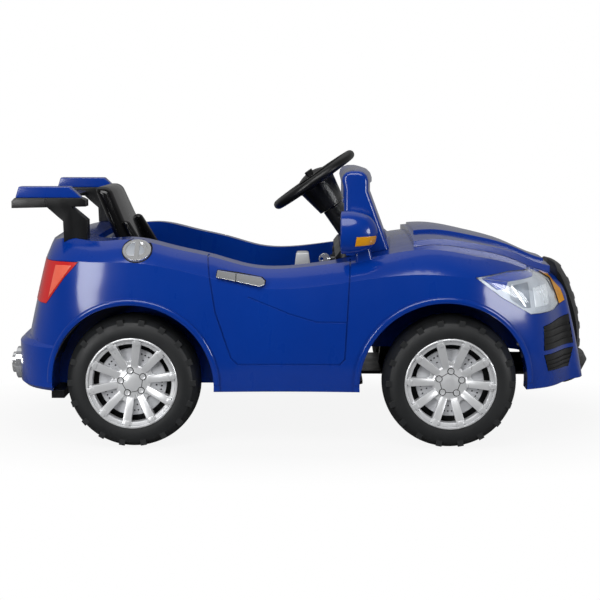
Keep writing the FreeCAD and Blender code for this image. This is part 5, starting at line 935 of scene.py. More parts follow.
@dataclass
class RoadWheel:
    """One wheel's bright cover and disc; distances out are taken from the wheel's middle plane."""

    corner: str                         # front_right, front_left, rear_right or rear_left
    axle_x: float
    side: Side
    turn: float                         # degrees that the cover stands turned about the axle
    axle_z: float = 125.0 * MM
    track: float = 228.0 * MM
    nuts: int = 5
    spokes: int = 10
    first_nut: float = 90.0             # degrees from +x towards +z
    cover_back: float = 26.2 * MM
    lip_radius: float = 84.5 * MM
    seat_radius: float = 79.7 * MM
    ring_inner: float = 73.0 * MM
    ring_face: float = 46.6 * MM
    seat_depth: float = 2.3 * MM
    # millimetres in from the lip's radius and down from the ring's face, from the outside in
    lip_steps: Outline = ((0.0, 2.3), (0.0, 1.4), (1.2, 0.3), (2.6, 0.0), (3.9, 0.5), (4.8, 3.0))
    # millimetres out from the ring's inner radius and down from its face
    dish_steps: Outline = ((1.4, 4.2), (0.0, 6.0))
    hub_radius: float = 33.0 * MM
    hub_face: float = 32.0 * MM
    # millimetres in from the hub's radius and down from its face
    hub_steps: Outline = ((0.0, 2.2), (1.8, 0.8), (4.0, 0.0))
    # shares of the nut circle and millimetres up from the hub's face
    boss_steps: Outline = ((0.62, 0.2), (0.56, 0.9), (0.2, 1.3))
    spoke_root: float = 26.0 * MM
    spoke_width: float = 16.0 * MM
    spoke_face: float = 46.7 * MM       # how far out the spoke's tip stands
    spoke_into_ring: float = 5.5 * MM
    face_share: float = 0.56            # width of the spoke's face against its back
    root_share: float = 0.8             # width of its root against its tip
    root_sunk: float = 0.6 * MM         # how far its root lies under the hub's face
    above_back: float = 1.0 * MM        # points further out than this from its back belong to its face
    spoke_round: float = 0.9 * MM
    tip_radius: float = 83.2 * MM       # how far the spoke's end reaches over the ring
    end_share: float = 0.31             # half width of that end against the spoke's width
    end_inside: float = 2.0 * MM
    end_above: float = 0.5 * MM
    end_below: float = 2.0 * MM
    end_fall: float = 1.3 * MM          # how far the end drops towards the spoke
    end_round: float = 0.8 * MM
    web_half: float = 10.0 * MM
    web_inside: float = 4.0 * MM
    web_outside: float = 13.0 * MM
    web_drop: float = 1.6 * MM
    web_round: float = 0.6 * MM
    hollow_radius: float = 7.6 * MM
    hollow_out: float = 14.0 * MM
    hollow_sides: int = 40
    tool_length: float = 30.0 * MM
    nut_circle: float = 22.0 * MM
    nut_radius: float = 5.0 * MM
    nut_height: float = 3.0 * MM
    nut_sunk: float = 0.3 * MM
    nut_rim: float = 1.4 * MM
    nut_dish: float = 0.8 * MM
    nut_round: float = 0.5 * MM
    nut_sides: int = 32
    ring_line: float = 1.5 * MM         # width of the dark line round a nut, painted shade in the groove there
    line_gap: float = 0.15 * MM
    line_sunk: float = 0.4 * MM
    line_rise: float = 0.35 * MM
    line_sides: int = 40
    bar_half: float = 0.6 * MM          # half width of the dark line from nut to nut, painted shade in the groove there
    bar_sunk: float = 0.8 * MM
    bar_rise: float = 0.3 * MM
    bar_into_ring: float = 0.3 * MM
    bar_round: float = 0.15 * MM
    disc_radius: float = 63.0 * MM
    disc_bore: float = 14.0 * MM
    disc_back: float = 22.0 * MM
    disc_drop: float = 0.2 * MM         # from the back of the cover to the disc's face
    disc_edge: Pair = (0.8 * MM, 1.0 * MM)      # chamfer: in from the edge, and down from the cover's back
    disc_angle: float = 30.0            # degrees; in the shading its edges sharper than this stay sharp
    disc_hole: float = 1.7 * MM
    hole_sides: int = 16
    # shares of the disc's radius and degrees from the middle of a window, hole by hole
    holes: Outline = ((0.86, -7.5), (0.86, 0.0), (0.86, 7.5), (0.70, 0.0))

    def make_ring(self) -> Piece:
        """Turns the rim ring with its rolled lip and dished inside.

        Returns:
            The ring.
        """
        face = self.ring_face
        profile = [(self.seat_radius, self.cover_back), (self.seat_radius, face - self.seat_depth)]
        profile += [(self.lip_radius - inward * MM, face - down * MM) for inward, down in self.lip_steps]
        profile += [(self.ring_inner + outward * MM, face - down * MM) for outward, down in self.dish_steps]
        profile.append((self.ring_inner, self.cover_back))
        return turned("rim_ring", profile, hollow=True)

    def make_hub(self) -> Piece:
        """Turns the hub, with a shallow step round the nuts.

        Returns:
            The hub.
        """
        face = self.hub_face
        profile = [(self.hub_radius, self.cover_back)]
        profile += [(self.hub_radius - inward * MM, face - down * MM) for inward, down in self.hub_steps]
        profile += [(self.nut_circle * share, face + rise * MM) for share, rise in self.boss_steps]
        return turned("wheel_hub", profile, hollow=False)

    def make_spoke(self) -> Piece:
        """Shapes one spoke: a long block, narrower on its face, wider and further out at its tip.

        Returns:
            The spoke, along +x.
        """
        low = (self.spoke_root, -self.spoke_face, -self.spoke_width / 2)
        high = (self.ring_inner + self.spoke_into_ring, -self.cover_back, self.spoke_width / 2)
        spoke = new_box("wheel_spoke", low, high)
        middle = (low[0] + high[0]) / 2
        with editing(spoke):
            select_faces(spoke, lambda place, normal: normal.y < -FACING)
            bpy.ops.transform.resize(value=(1.0, 1.0, self.face_share), center_override=ORIGIN)
            select_points(spoke, lambda place: place.x < middle)
            bpy.ops.transform.resize(value=(1.0, 1.0, self.root_share), center_override=ORIGIN)
            back = -self.cover_back - self.above_back
            select_points(spoke, lambda place: place.x < middle and place.y < back)
            drop = self.spoke_face - self.hub_face + self.root_sunk
            bpy.ops.transform.translate(value=(0.0, drop, 0.0))
        round_edges(spoke, self.spoke_round)
        half = self.spoke_width * self.end_share
        end = new_box(
            "spoke_end", (self.ring_inner - self.end_inside, -self.ring_face - self.end_above, -half),
            (self.tip_radius, -self.ring_face + self.end_below, half),
        )
        end_middle = (self.ring_inner - self.end_inside + self.tip_radius) / 2
        with editing(end):
            select_points(end, lambda place: place.x < end_middle)
            bpy.ops.transform.translate(value=(0.0, self.end_fall, 0.0))
        round_edges(end, self.end_round)
        return joined("wheel_spoke", [spoke, end])

    def make_web(self) -> Piece:
        """Shapes the web that joins the two spokes of a pair, with a round hollow in its outer edge.

        Returns:
            The web, along +x.
        """
        web = new_box(
            "spoke_web", (self.hub_radius - self.web_inside, -self.hub_face + self.web_drop, -self.web_half),
            (self.hub_radius + self.web_outside, -self.cover_back, self.web_half),
        )
        place = (self.hub_radius + self.hollow_out, -self.hub_face, 0.0)
        drill(web, new_rod("web_hollow", self.hollow_radius, self.tool_length, place, self.hollow_sides))
        round_edges(web, self.web_round)
        return web

    def make_nut(self) -> Piece:
        """Shapes one round nut with a rolled edge and a dished end.

        Returns:
            The nut, along +x.
        """
        place = (self.nut_circle, -self.hub_face - self.nut_height / 2 + self.nut_sunk, 0.0)
        nut = new_rod("wheel_nut", self.nut_radius, self.nut_height, place, self.nut_sides)
        with editing(nut):
            select_faces(nut, lambda place, normal: normal.y < -FACING)
            bpy.ops.mesh.inset(thickness=self.nut_rim)
            bpy.ops.transform.translate(value=(0.0, self.nut_dish, 0.0))
        round_edges(nut, self.nut_round)
        return nut

    def make_lines(self) -> list[Piece]:
        """Shapes the dark ring round each nut and the dark line from nut to nut, painted shade in the grooves
        there.

        Returns:
            The rings and the lines.
        """
        face = self.hub_face
        inner = self.nut_radius + self.line_gap
        outer = self.nut_radius + self.ring_line
        profile = [
            (outer, face - self.line_sunk), (outer, face + self.line_rise), (inner, face + self.line_rise),
            (inner, face - self.line_sunk),
        ]
        ring = turned("nut_ring", profile, hollow=True, segments=self.line_sides)
        ring.location.x = self.nut_circle
        settle(ring, "nut_ring")
        rings = spun_copies(ring, self.nuts, self.first_nut)
        half_pitch = 180.0 / self.nuts
        along = self.nut_circle * math.sin(math.radians(half_pitch)) - outer + self.bar_into_ring
        near = self.nut_circle * math.cos(math.radians(half_pitch))
        bar = new_box(
            "nut_line", (near - self.bar_half, -face - self.bar_rise, -along),
            (near + self.bar_half, -face + self.bar_sunk, along),
        )
        round_edges(bar, self.bar_round, steps=1)
        return rings + spun_copies(bar, self.nuts, self.first_nut + half_pitch)

    def make_disc(self) -> Piece:
        """Turns the disc and drills four holes in each of the five open windows.

        Returns:
            The disc.
        """
        edge_in, edge_down = self.disc_edge
        face = self.cover_back - self.disc_drop
        profile = [
            (self.disc_bore, self.disc_back), (self.disc_radius, self.disc_back),
            (self.disc_radius, self.cover_back - edge_down), (self.disc_radius - edge_in, face),
            (self.disc_bore, face),
        ]
        disc = turned("drilled_disc", profile, hollow=True)
        first_window = self.first_nut - 180.0 / self.nuts
        drills = []
        for share, spread in self.holes:
            place = (self.disc_radius * share, -self.disc_back, 0.0)
            tool = new_rod("drill", self.disc_hole, self.tool_length, place, self.hole_sides)
            drills += spun_copies(tool, self.nuts, first_window + spread)
        drill(disc, joined("drills", drills))
        smooth(disc, self.disc_angle)
        return disc

    def place(self, piece: Piece, name: str) -> Piece:
        """Moves a finished right-hand piece to its axle, on its own side of the car.

        Args:
            piece: the piece, about the origin.
            name: its name.

        Returns:
            The piece that stands in its place.
        """
        piece.rotation_euler = (0.0, -math.radians(self.turn), 0.0)
        piece.location = (self.axle_x, -self.track, self.axle_z)
        settle(piece, name)
        if self.side is Side.LEFT:
            mirrored = left_copy(piece, name + "_mirrored")
            bpy.data.objects.remove(piece)
            mirrored.name = name
            return mirrored
        return piece

    def build(self) -> None:
        """Builds the wheel's pieces and lets them turn with the wheel."""
        body = self.corner + "_wheel"
        ring = self.make_ring()
        hub = self.make_hub()
        for piece in (ring, hub):
            smooth(piece, EDGE_ANGLE)
        bright = [ring, hub]
        bright += spun_copies(self.make_spoke(), self.spokes, 0.0)
        bright += spun_copies(self.make_web(), self.nuts, self.first_nut)
        bright += spun_copies(self.make_nut(), self.nuts, self.first_nut)
        cover = self.place(joined("cover_" + self.corner, bright), "cover_" + self.corner)
        dress(cover, body, "silver", "wheel_cover_" + self.corner)
        # the dark rings and lines are painted shade in the grooves round and between the nuts
        lines = self.place(joined("lines_" + self.corner, self.make_lines()), "nut_lines_" + self.corner)
        dress(lines, body, "black_plastic", finish=SHADOW_GAP)
        disc = self.place(self.make_disc(), "disc_" + self.corner)
        dress(disc, body, "disc_silver", "brake_disc_" + self.corner)


@dataclass
class Lamps:
    """Domed headlight covers with what shows through them, with a blue sheet of painted reflection inside,
    and the bright inner piece of each tail lamp, a painted highlight.
    """

    head_outline: Outline = (
        (0.310, 0.322), (0.379, 0.330), (0.434, 0.3278), (0.465, 0.304), (0.485, 0.258), (0.470, 0.250),
        (0.418, 0.250), (0.360, 0.284),
    )
    # a blue sheet inside the headlight: painted reflection of the blue bonnet
    blue_reflection_outline: Outline = (
        (0.322, 0.3203), (0.379, 0.3272), (0.432, 0.3248), (0.424, 0.3150), (0.372, 0.3115),
    )
    # the tip sheet is blue: partly the blue body seen through the clear lens, partly painted reflection
    tip_outline: Outline = ((0.323, 0.3190), (0.372, 0.3110), (0.366, 0.2990), (0.350, 0.2990))
    cup_outline: Outline = ((0.421, 0.297), (0.454, 0.299), (0.457, 0.264), (0.426, 0.262))
    bowl_outline: Outline = ((0.374, 0.304), (0.412, 0.308), (0.417, 0.262), (0.402, 0.263), (0.377, 0.281))
    rod_outline: Outline = ((0.3765, 0.305), (0.3800, 0.306), (0.4085, 0.266), (0.4055, 0.264))
    # the bright inner piece of the tail lamp is a painted highlight
    tail_outline: Outline = ((-0.458, 0.3405), (-0.424, 0.3415), (-0.446, 0.314), (-0.474, 0.277))
    cover_rise: float = 3.2 * MM
    cover_run: float = 22.0 * MM
    cover_thickness: float = 1.0 * MM
    cover_step: float = 4.0 * MM
    edge_gap: float = 1.3 * MM
    inside_step: float = 3.0 * MM
    inside_round: float = 0.4 * MM
    blue_reflection_thickness: float = 0.9 * MM
    tip_thickness: float = 0.8 * MM
    bowl_thickness: float = 0.7 * MM
    cup_thickness: float = 1.1 * MM
    rod_thickness: float = 1.2 * MM
    tail_thickness: float = 0.9 * MM
    tail_step: float = 4.0 * MM
    tail_round: float = 0.5 * MM

    def make_cover(self) -> Piece:
        """Shapes the domed clear cover of the right headlight.

        Returns:
            The cover.
        """
        cover = side_sheet("headlight_cover", self.head_outline, self.cover_step, margin=self.edge_gap)
        press_on(cover, frame["nodes"]["headlight_lenses"])
        swell(cover, self.head_outline, self.cover_rise, self.cover_run)
        shaped(cover, "SOLIDIFY", thickness=self.cover_thickness, offset=-1.0)
        turn_outwards(cover)
        smooth(cover, SHEET_ANGLE)
        return cover

    def build(self) -> None:
        """Builds the headlights and tail lamps of both sides."""
        both_sides(self.make_cover(), "clear", "headlight_lenses")
        housing = frame["nodes"]["headlight_housings"]
        for name, outline, thickness, slot, finish in (
            # the first entry is a blue sheet of painted reflection of the bonnet
            ("lamp_visor", self.blue_reflection_outline, self.blue_reflection_thickness, "body_paint", None),
            ("lamp_tip", self.tip_outline, self.tip_thickness, "body_paint", None),
            ("lamp_bowl", self.bowl_outline, self.bowl_thickness, "reflector", DARK_BOWL),
            ("lamp_cup", self.cup_outline, self.cup_thickness, "reflector", LAMP_CUP),
            ("lamp_rod", self.rod_outline, self.rod_thickness, "chrome", None),
        ):
            inside = patch_on(name, outline, housing, self.inside_step, thickness, self.inside_round)
            both_sides(inside, slot, finish=finish)
        red = frame["nodes"]["tail_lights"]
        inner = patch_on(
            "tail_inner", self.tail_outline, red, self.tail_step, self.tail_thickness, self.tail_round,
        )
        both_sides(inner, "red_lens", finish=PAINTED_HIGHLIGHT_RED)


@dataclass
class Mirrors:
    """Door mirrors: a helmet-shaped housing on a foot, with the glass let into its rear face."""

    rear_x: float = 67.5 * MM
    middle: Point = (0.081, -0.246, 0.401)
    reach: Point = (53.0 * MM, 32.0 * MM, 40.0 * MM)    # half sizes of the form that the housing is cut from
    ball_sides: int = 64
    ball_rows: int = 40
    squareness: float = 0.08
    low_z: float = 363.5 * MM
    head_round: float = 2.5 * MM
    head_angle: float = 40.0            # degrees; its edges sharper than this are rounded
    round_steps: int = 4
    rear_facing: float = 0.98           # normals of the rear plane reach this towards the rear
    frame_width: float = 5.0 * MM
    frame_depth: float = 0.3 * MM       # faces this near the rear plane belong to it
    pocket: float = 2.6 * MM
    glass_lift: float = 1.8 * MM
    glass_share: float = 0.985          # size of the glass's face against the pocket
    foot_rear: float = 24.0 * MM        # from the housing's rear face
    foot_inward: float = 18.0 * MM
    foot_half: float = 11.0 * MM
    foot_length: float = 28.0 * MM
    foot_levels: Pair = (78.0 * MM, 24.0 * MM)  # its ends, down from the housing's middle
    foot_flare: float = 1.3
    foot_lean: float = 9.0 * MM
    foot_round: float = 6.0 * MM
    repeater: Outline = ((0.092, 0.3785), (0.129, 0.3815), (0.1305, 0.3965), (0.095, 0.3955))
    repeater_step: float = 1.5 * MM
    repeater_thickness: float = 1.2 * MM
    repeater_round: float = 0.5 * MM

    def make_head(self) -> Piece:
        """Shapes the housing: a squared ball, cut flat behind and below.

        Returns:
            The housing.
        """
        bpy.ops.object.select_all(action="DESELECT")
        bpy.ops.mesh.primitive_uv_sphere_add(segments=self.ball_sides, ring_count=self.ball_rows, radius=1.0)
        head = settle(bpy.context.object, "mirror_head")
        shaped(head, "CAST", cast_type="CUBOID", factor=self.squareness, size=1.0, radius=0.0)
        largest = max(abs(point.co.x) for point in head.data.vertices)
        head.scale = Vector(self.reach) / largest
        head.location = self.middle
        settle(head, "mirror_head")
        rear = (self.rear_x, 0.0, 0.0)
        with editing(head, whole=True):
            bpy.ops.mesh.bisect(plane_co=rear, plane_no=(-1.0, 0.0, 0.0), clear_outer=True, use_fill=True)
            cut_below(self.low_z, fill=True)
        round_edges(head, self.head_round, self.round_steps, self.head_angle)
        return head

    def make_glass(self, head: Piece) -> Piece:
        """Sinks a pocket into the housing's rear face and parts its floor off as the glass.

        Args:
            head: the housing.

        Returns:
            The glass, thickened and standing in the pocket.
        """
        known = set(bpy.data.objects)
        rear = self.rear_x + self.frame_depth
        with editing(head):
            bpy.ops.mesh.select_mode(type="FACE")
            select_faces(head, lambda place, normal: normal.x < -self.rear_facing and place.x < rear)
            bpy.ops.mesh.inset(thickness=self.frame_width)
            bpy.ops.mesh.extrude_region_move(TRANSFORM_OT_translate={"value": (self.pocket, 0.0, 0.0)})
            bpy.ops.mesh.duplicate()
            bpy.ops.mesh.separate(type="SELECTED")
            bpy.ops.mesh.select_mode(type="VERT")
        smooth(head, EDGE_ANGLE)
        glass = next(thing for thing in bpy.data.objects if thing not in known)
        settle(glass, "mirror_plate")
        share = self.glass_share
        with editing(glass, whole=True):
            bpy.ops.mesh.extrude_region_move(TRANSFORM_OT_translate={"value": (-self.glass_lift, 0.0, 0.0)})
            bpy.ops.transform.resize(value=(1.0, share, share), center_override=self.middle)
        turn_outwards(glass)
        smooth(glass, EDGE_ANGLE)
        return glass

    def make_foot(self) -> Piece:
        """Shapes the foot that leans forward from the body to the housing.

        Returns:
            The foot.
        """
        rear = self.rear_x + self.foot_rear
        y = self.middle[1] + self.foot_inward
        low, high = (self.middle[2] - level for level in self.foot_levels)
        foot = new_box(
            "mirror_foot", (rear, y - self.foot_half, low),
            (rear + self.foot_length, y + self.foot_half, high),
        )
        with editing(foot):
            select_faces(foot, lambda place, normal: normal.z < -FACING)
            centre = (rear + self.foot_length / 2, 0.0, 0.0)
            bpy.ops.transform.resize(value=(self.foot_flare, 1.0, 1.0), center_override=centre)
            bpy.ops.transform.translate(value=(self.foot_lean, 0.0, 0.0))
        round_edges(foot, self.foot_round, self.round_steps)
        return foot

    def build(self) -> None:
        """Builds both mirrors."""
        head = self.make_head()
        strip = patch_on(
            "repeater", self.repeater, head, self.repeater_step, self.repeater_thickness, self.repeater_round,
        )
        glass = self.make_glass(head)
        housing = joined("mirror_housing", [head, self.make_foot()])
        both_sides(strip, "amber", "mirror_indicators")
        both_sides(glass, "mirror_glass", "mirror_glasses")
        both_sides(housing, "body_paint", "mirror_housings")


@dataclass
class Mouldings:
    """Flat-sided mouldings with the edge roundings that they come out of the mould with."""

    spoiler_round: float = 3.0 * MM
    fin_round: float = 2.2 * MM
    console_round: float = 4.0 * MM
    dash_round: float = 3.0 * MM
    knob_round: float = 2.5 * MM
    pedal_round: float = 1.5 * MM
    round_steps: int = 4
    round_angle: float = 30.0           # degrees; edges sharper than this are rounded
    screen_round: float = 9.0 * MM
    screen_steps: int = 6
    screen_end: float = 170.0 * MM      # the screen frame's end faces lie beyond this on both sides
    screen_foot: float = 372.0 * MM     # below this the screen frame stands against the body

    def ease(self, node: str, width: float) -> None:
        """Copies a CAD node, rounds its edges and lets the copy stand for it.

        Args:
            node: the CAD node.
            width: how far the rounding reaches.
        """
        copy = node_copy(node, "rounded_" + node)
        round_edges(copy, width, self.round_steps, self.round_angle)
        dress(copy, body_of(node), NODE_SLOTS[node], node)

    def ease_screen(self) -> None:
        """Copies the windscreen frame and rounds the border of both its ends, down to the body."""
        copy = node_copy("windscreen_frame", "rounded_windscreen_frame")
        with editing(copy):
            bpy.ops.mesh.select_mode(type="FACE")
            select_faces(
                copy, lambda place, normal: abs(normal.y) > FACING and abs(place.y) > self.screen_end,
            )
            mesh = bmesh.from_edit_mesh(copy.data)
            border = [edge for edge in mesh.edges if sum(face.select for face in edge.link_faces) == 1]
            bpy.ops.mesh.select_all(action="DESELECT")
            bpy.ops.mesh.select_mode(type="EDGE")
            for edge in border:
                edge.select_set(max(point.co.z for point in edge.verts) > self.screen_foot)
            bmesh.update_edit_mesh(copy.data)
            bpy.ops.mesh.bevel(offset=self.screen_round, segments=self.screen_steps, affect="EDGES")
            bpy.ops.mesh.select_mode(type="VERT")
        smooth(copy, EDGE_ANGLE)
        dress(copy, "chassis", "body_paint", "windscreen_frame")

    def build(self) -> None:
        """Rounds a copy of each moulding's CAD shape."""
        self.ease("spoiler_frame", self.spoiler_round)
        self.ease("spoiler_fins", self.fin_round)
        self.ease_screen()
        self.ease("console", self.console_round)
        self.ease("dashboard", self.dash_round)
        self.ease("gear_lever", self.knob_round)
        self.ease("accelerator_pedal", self.pedal_round)


@dataclass
class Seat:
    """The seat: a dished cushion and a reclined back with side supports, all with large roundings."""

    half_width: float = 121.0 * MM
    foot_z: float = 134.0 * MM
    top_z: float = 214.0 * MM
    front_x: float = -112.0 * MM
    back_x: float = -256.0 * MM         # front of the back at the cushion
    under_back: float = 20.0 * MM       # how far the cushion reaches under the back
    recline: float = 124.0 * MM         # how much further back the back's top stands
    back_top_z: float = 476.0 * MM
    back_sunk: float = 30.0 * MM        # how far the back reaches down beside the cushion
    back_thickness: float = 32.0 * MM
    top_share: float = 0.72             # width of the back's top against its foot
    dish: float = 7.0 * MM
    border: float = 24.0 * MM
    front_facing: float = 0.5           # the normal of the back's leaning front reaches this ahead
    rounding: float = 13.0 * MM
    cushion_steps: int = 5
    back_steps: int = 6
    soft_angle: float = 12.0            # degrees; edges sharper than this are rounded
    support_foot: float = 10.0 * MM     # above the cushion
    support_top: float = 412.0 * MM
    support_depth: float = 40.0 * MM
    support_width: float = 26.0 * MM
    support_sunk: float = 12.0 * MM     # how far it stands inside the back
    support_inset: float = 3.0 * MM
    support_thin: Pair = (0.35, 0.8)    # depth and width of its top against its foot
    support_hold: float = 0.8           # where across the half width its narrowing is centred
    support_shift: float = 0.12         # how far its top moves in, as a share of the half width
    support_round: float = 7.0 * MM
    support_steps: int = 5
    support_angle: float = 30.0         # degrees; its edges sharper than this are rounded

    def make_cushion(self) -> Piece:
        """Shapes the cushion with a dish in its top.

        Returns:
            The cushion.
        """
        cushion = new_box(
            "seat_cushion", (self.back_x - self.under_back, -self.half_width, self.foot_z),
            (self.front_x, self.half_width, self.top_z),
        )
        with editing(cushion):
            select_faces(cushion, lambda place, normal: normal.z > FACING)
            bpy.ops.mesh.inset(thickness=self.border)
            bpy.ops.transform.translate(value=(0.0, 0.0, -self.dish))
        round_edges(cushion, self.rounding, self.cushion_steps, self.soft_angle)
        return cushion

    def make_back(self) -> Piece:
        """Shapes the reclined back with a dish in its front.

        Returns:
            The back.
        """
        back = new_box(
            "seat_back", (self.back_x - self.back_thickness, -self.half_width, self.top_z - self.back_sunk),
            (self.back_x, self.half_width, self.back_top_z),
        )
        with editing(back):
            select_faces(back, lambda place, normal: normal.z > FACING)
            bpy.ops.transform.translate(value=(-self.recline, 0.0, 0.0))
            bpy.ops.transform.resize(value=(1.0, self.top_share, 1.0), center_override=ORIGIN)
            select_faces(back, lambda place, normal: normal.x > self.front_facing)
            bpy.ops.mesh.inset(thickness=self.border)
            bpy.ops.transform.translate(value=(-self.dish, 0.0, -self.dish / 2))
        round_edges(back, self.rounding, self.back_steps, self.soft_angle)
        return back

    def make_support(self) -> Piece:
        """Shapes the right-hand side support, which runs up the back and thins out to its top.

        Returns:
            The support.
        """
        low_z = self.top_z + self.support_foot
        lean = self.recline * (self.support_top - low_z) / (self.back_top_z - self.top_z)
        rear = self.back_x - self.support_sunk
        outer = -self.half_width + self.support_inset
        support = new_box(
            "seat_support", (rear, outer, low_z),
            (rear + self.support_depth, outer + self.support_width, self.support_top),
        )
        with editing(support):
            select_faces(support, lambda place, normal: normal.z > FACING)
            centre = (rear, -self.half_width * self.support_hold, 0.0)
            bpy.ops.transform.resize(value=(*self.support_thin, 1.0), center_override=centre)
            bpy.ops.transform.translate(value=(-lean, self.support_shift * self.half_width, 0.0))
        round_edges(support, self.support_round, self.support_steps, self.support_angle)
        return support

    def build(self) -> None:
        """Builds the seat."""
        support = self.make_support()
        other = left_copy(support, "seat_support_left")
        seat = joined("rounded_seat", [self.make_cushion(), self.make_back(), support, other])
        dress(seat, "chassis", "black_plastic", "seat", finish=GLOSS_BLACK)


@dataclass
class BodyTrim:
    """Thin trim on the body: dark sheets of painted shadow round the handles and fuel cap, the cap's dish,
    and the handle's split line in painted shade.
    """

    # the dark sheets round the handles and fuel cap are painted shadow in the gaps there
    gasket_edge: float = 1.6 * MM
    gasket_thickness: float = 0.4 * MM
    gasket_step: float = 4.0 * MM
    dish_share: float = 0.76            # dish width as a share of the cap's
    dish_thickness: float = 0.8 * MM
    dish_lift: float = 0.1 * MM
    dish_step: float = 3.0 * MM
    # the split line is painted shade in the groove across the door handle
    split_x: float = -124.5 * MM
    split_width: float = 1.3 * MM
    split_thickness: float = 0.3 * MM
    split_lift: float = 0.02 * MM
    split_step: float = 1.0 * MM

    def make_painted_shadow(self, node: str) -> Piece:
        """Presses a dark sheet, a little larger than a CAD node, on to the body under it, as painted shadow
        in the gap round the node.

        Args:
            node: the CAD node.

        Returns:
            The painted shadow sheet of the right-hand side.
        """
        outline = side_outline(node, self.gasket_edge)
        shell = frame["nodes"]["body_shell"]
        shade_sheet = patch_on("gasket_" + node, outline, shell, self.gasket_step, self.gasket_thickness)
        smooth(shade_sheet, SHEET_ANGLE)
        return shade_sheet

    def make_dish(self) -> Piece:
        """Shapes the dish inside the fuel cap's bright ring.

        Returns:
            The dish.
        """
        cap = side_outline("fuel_cap")
        middle = middle_of(cap)
        outline = [tuple(middle + (Vector(corner) - middle) * self.dish_share) for corner in cap]
        dish = patch_on(
            "fuel_cap_dish", outline, frame["nodes"]["body_shell"], self.dish_step, self.dish_thickness,
            lift=self.dish_lift,
        )
        smooth(dish, SHEET_ANGLE)
        return dish

    def make_split(self) -> Piece:
        """Shapes the dark line across the right door handle, painted shade in the groove that splits it.

        Returns:
            The line.
        """
        levels = [z for _, z in side_outline("door_handles")]
        front_x = self.split_x + self.split_width
        outline = [
            (self.split_x, max(levels)), (front_x, max(levels)), (front_x, min(levels)),
            (self.split_x, min(levels)),
        ]
        return patch_on(
            "handle_split", outline, frame["nodes"]["door_handles"], self.split_step, self.split_thickness,
            lift=self.split_lift,
        )

    def build(self) -> None:
        """Builds the trim of both sides."""
        dress(self.make_dish(), "chassis", "chrome", finish=REFLECTOR)
        dress(self.make_painted_shadow("fuel_cap"), "chassis", "black_plastic", finish=SHADOW_GAP)
        for piece in (self.make_painted_shadow("door_handles"), self.make_split()):
            both_sides(piece, "black_plastic", finish=SHADOW_GAP, mark="")


@dataclass
class GrilleMesh:
    """The dark mesh between the bars of the grille."""

    foot_half: float = 73.0 * MM
    top_half: float = 86.5 * MM
    low_z: float = 170.5 * MM
    high_z: float = 317.5 * MM
    ahead_x: float = 0.7                # where the sheet starts, clear of the nose
    below_bars: float = 1.6 * MM
    thickness: float = 4.5 * MM
    step: float = 7.0 * MM

    def build(self) -> None:
        """Presses a sheet from the front on to the grille's hull, sets it back and thickens it."""
        hull = node_copy("grille", "grille_hull")
        with editing(hull, whole=True):
            bpy.ops.mesh.convex_hull()
        height = self.high_z - self.low_z
        middle = (self.ahead_x, 0.0, (self.low_z + self.high_z) / 2)
        sheet = new_grid("grille_mesh", (2 * self.top_half, height), self.step, middle, facing=QUARTER_TURN)
        with editing(sheet):
            for side in Side:
                out = Vector((0.0, side.value * height, self.foot_half - self.top_half)).normalized()
                foot = (self.ahead_x, side.value * self.foot_half, self.low_z)
                bpy.ops.mesh.select_all(action="SELECT")
                bpy.ops.mesh.bisect(plane_co=foot, plane_no=out, clear_outer=True)
        shaped(
            sheet, "SHRINKWRAP", wrap_method="PROJECT", target=hull, use_project_x=True, use_project_y=False,
            use_project_z=False, use_positive_direction=False, use_negative_direction=True,
        )
        bpy.data.objects.remove(hull)
        with editing(sheet, whole=True):
            bpy.ops.transform.translate(value=(-self.below_bars, 0.0, 0.0))
        shaped(sheet, "SOLIDIFY", thickness=self.thickness, offset=-1.0)
        turn_outwards(sheet)
        smooth(sheet, SHEET_ANGLE)
        dress(sheet, "chassis", "black_plastic", finish=GRILLE_BLACK)


@dataclass(frozen=True)
class Arch:
    """One wheel arch in side view."""

    name: str
    middle_x: float
    radius: float
    dark_roof_radius: float
    dark_roof_low: float            # how far down the dark sheet reaches
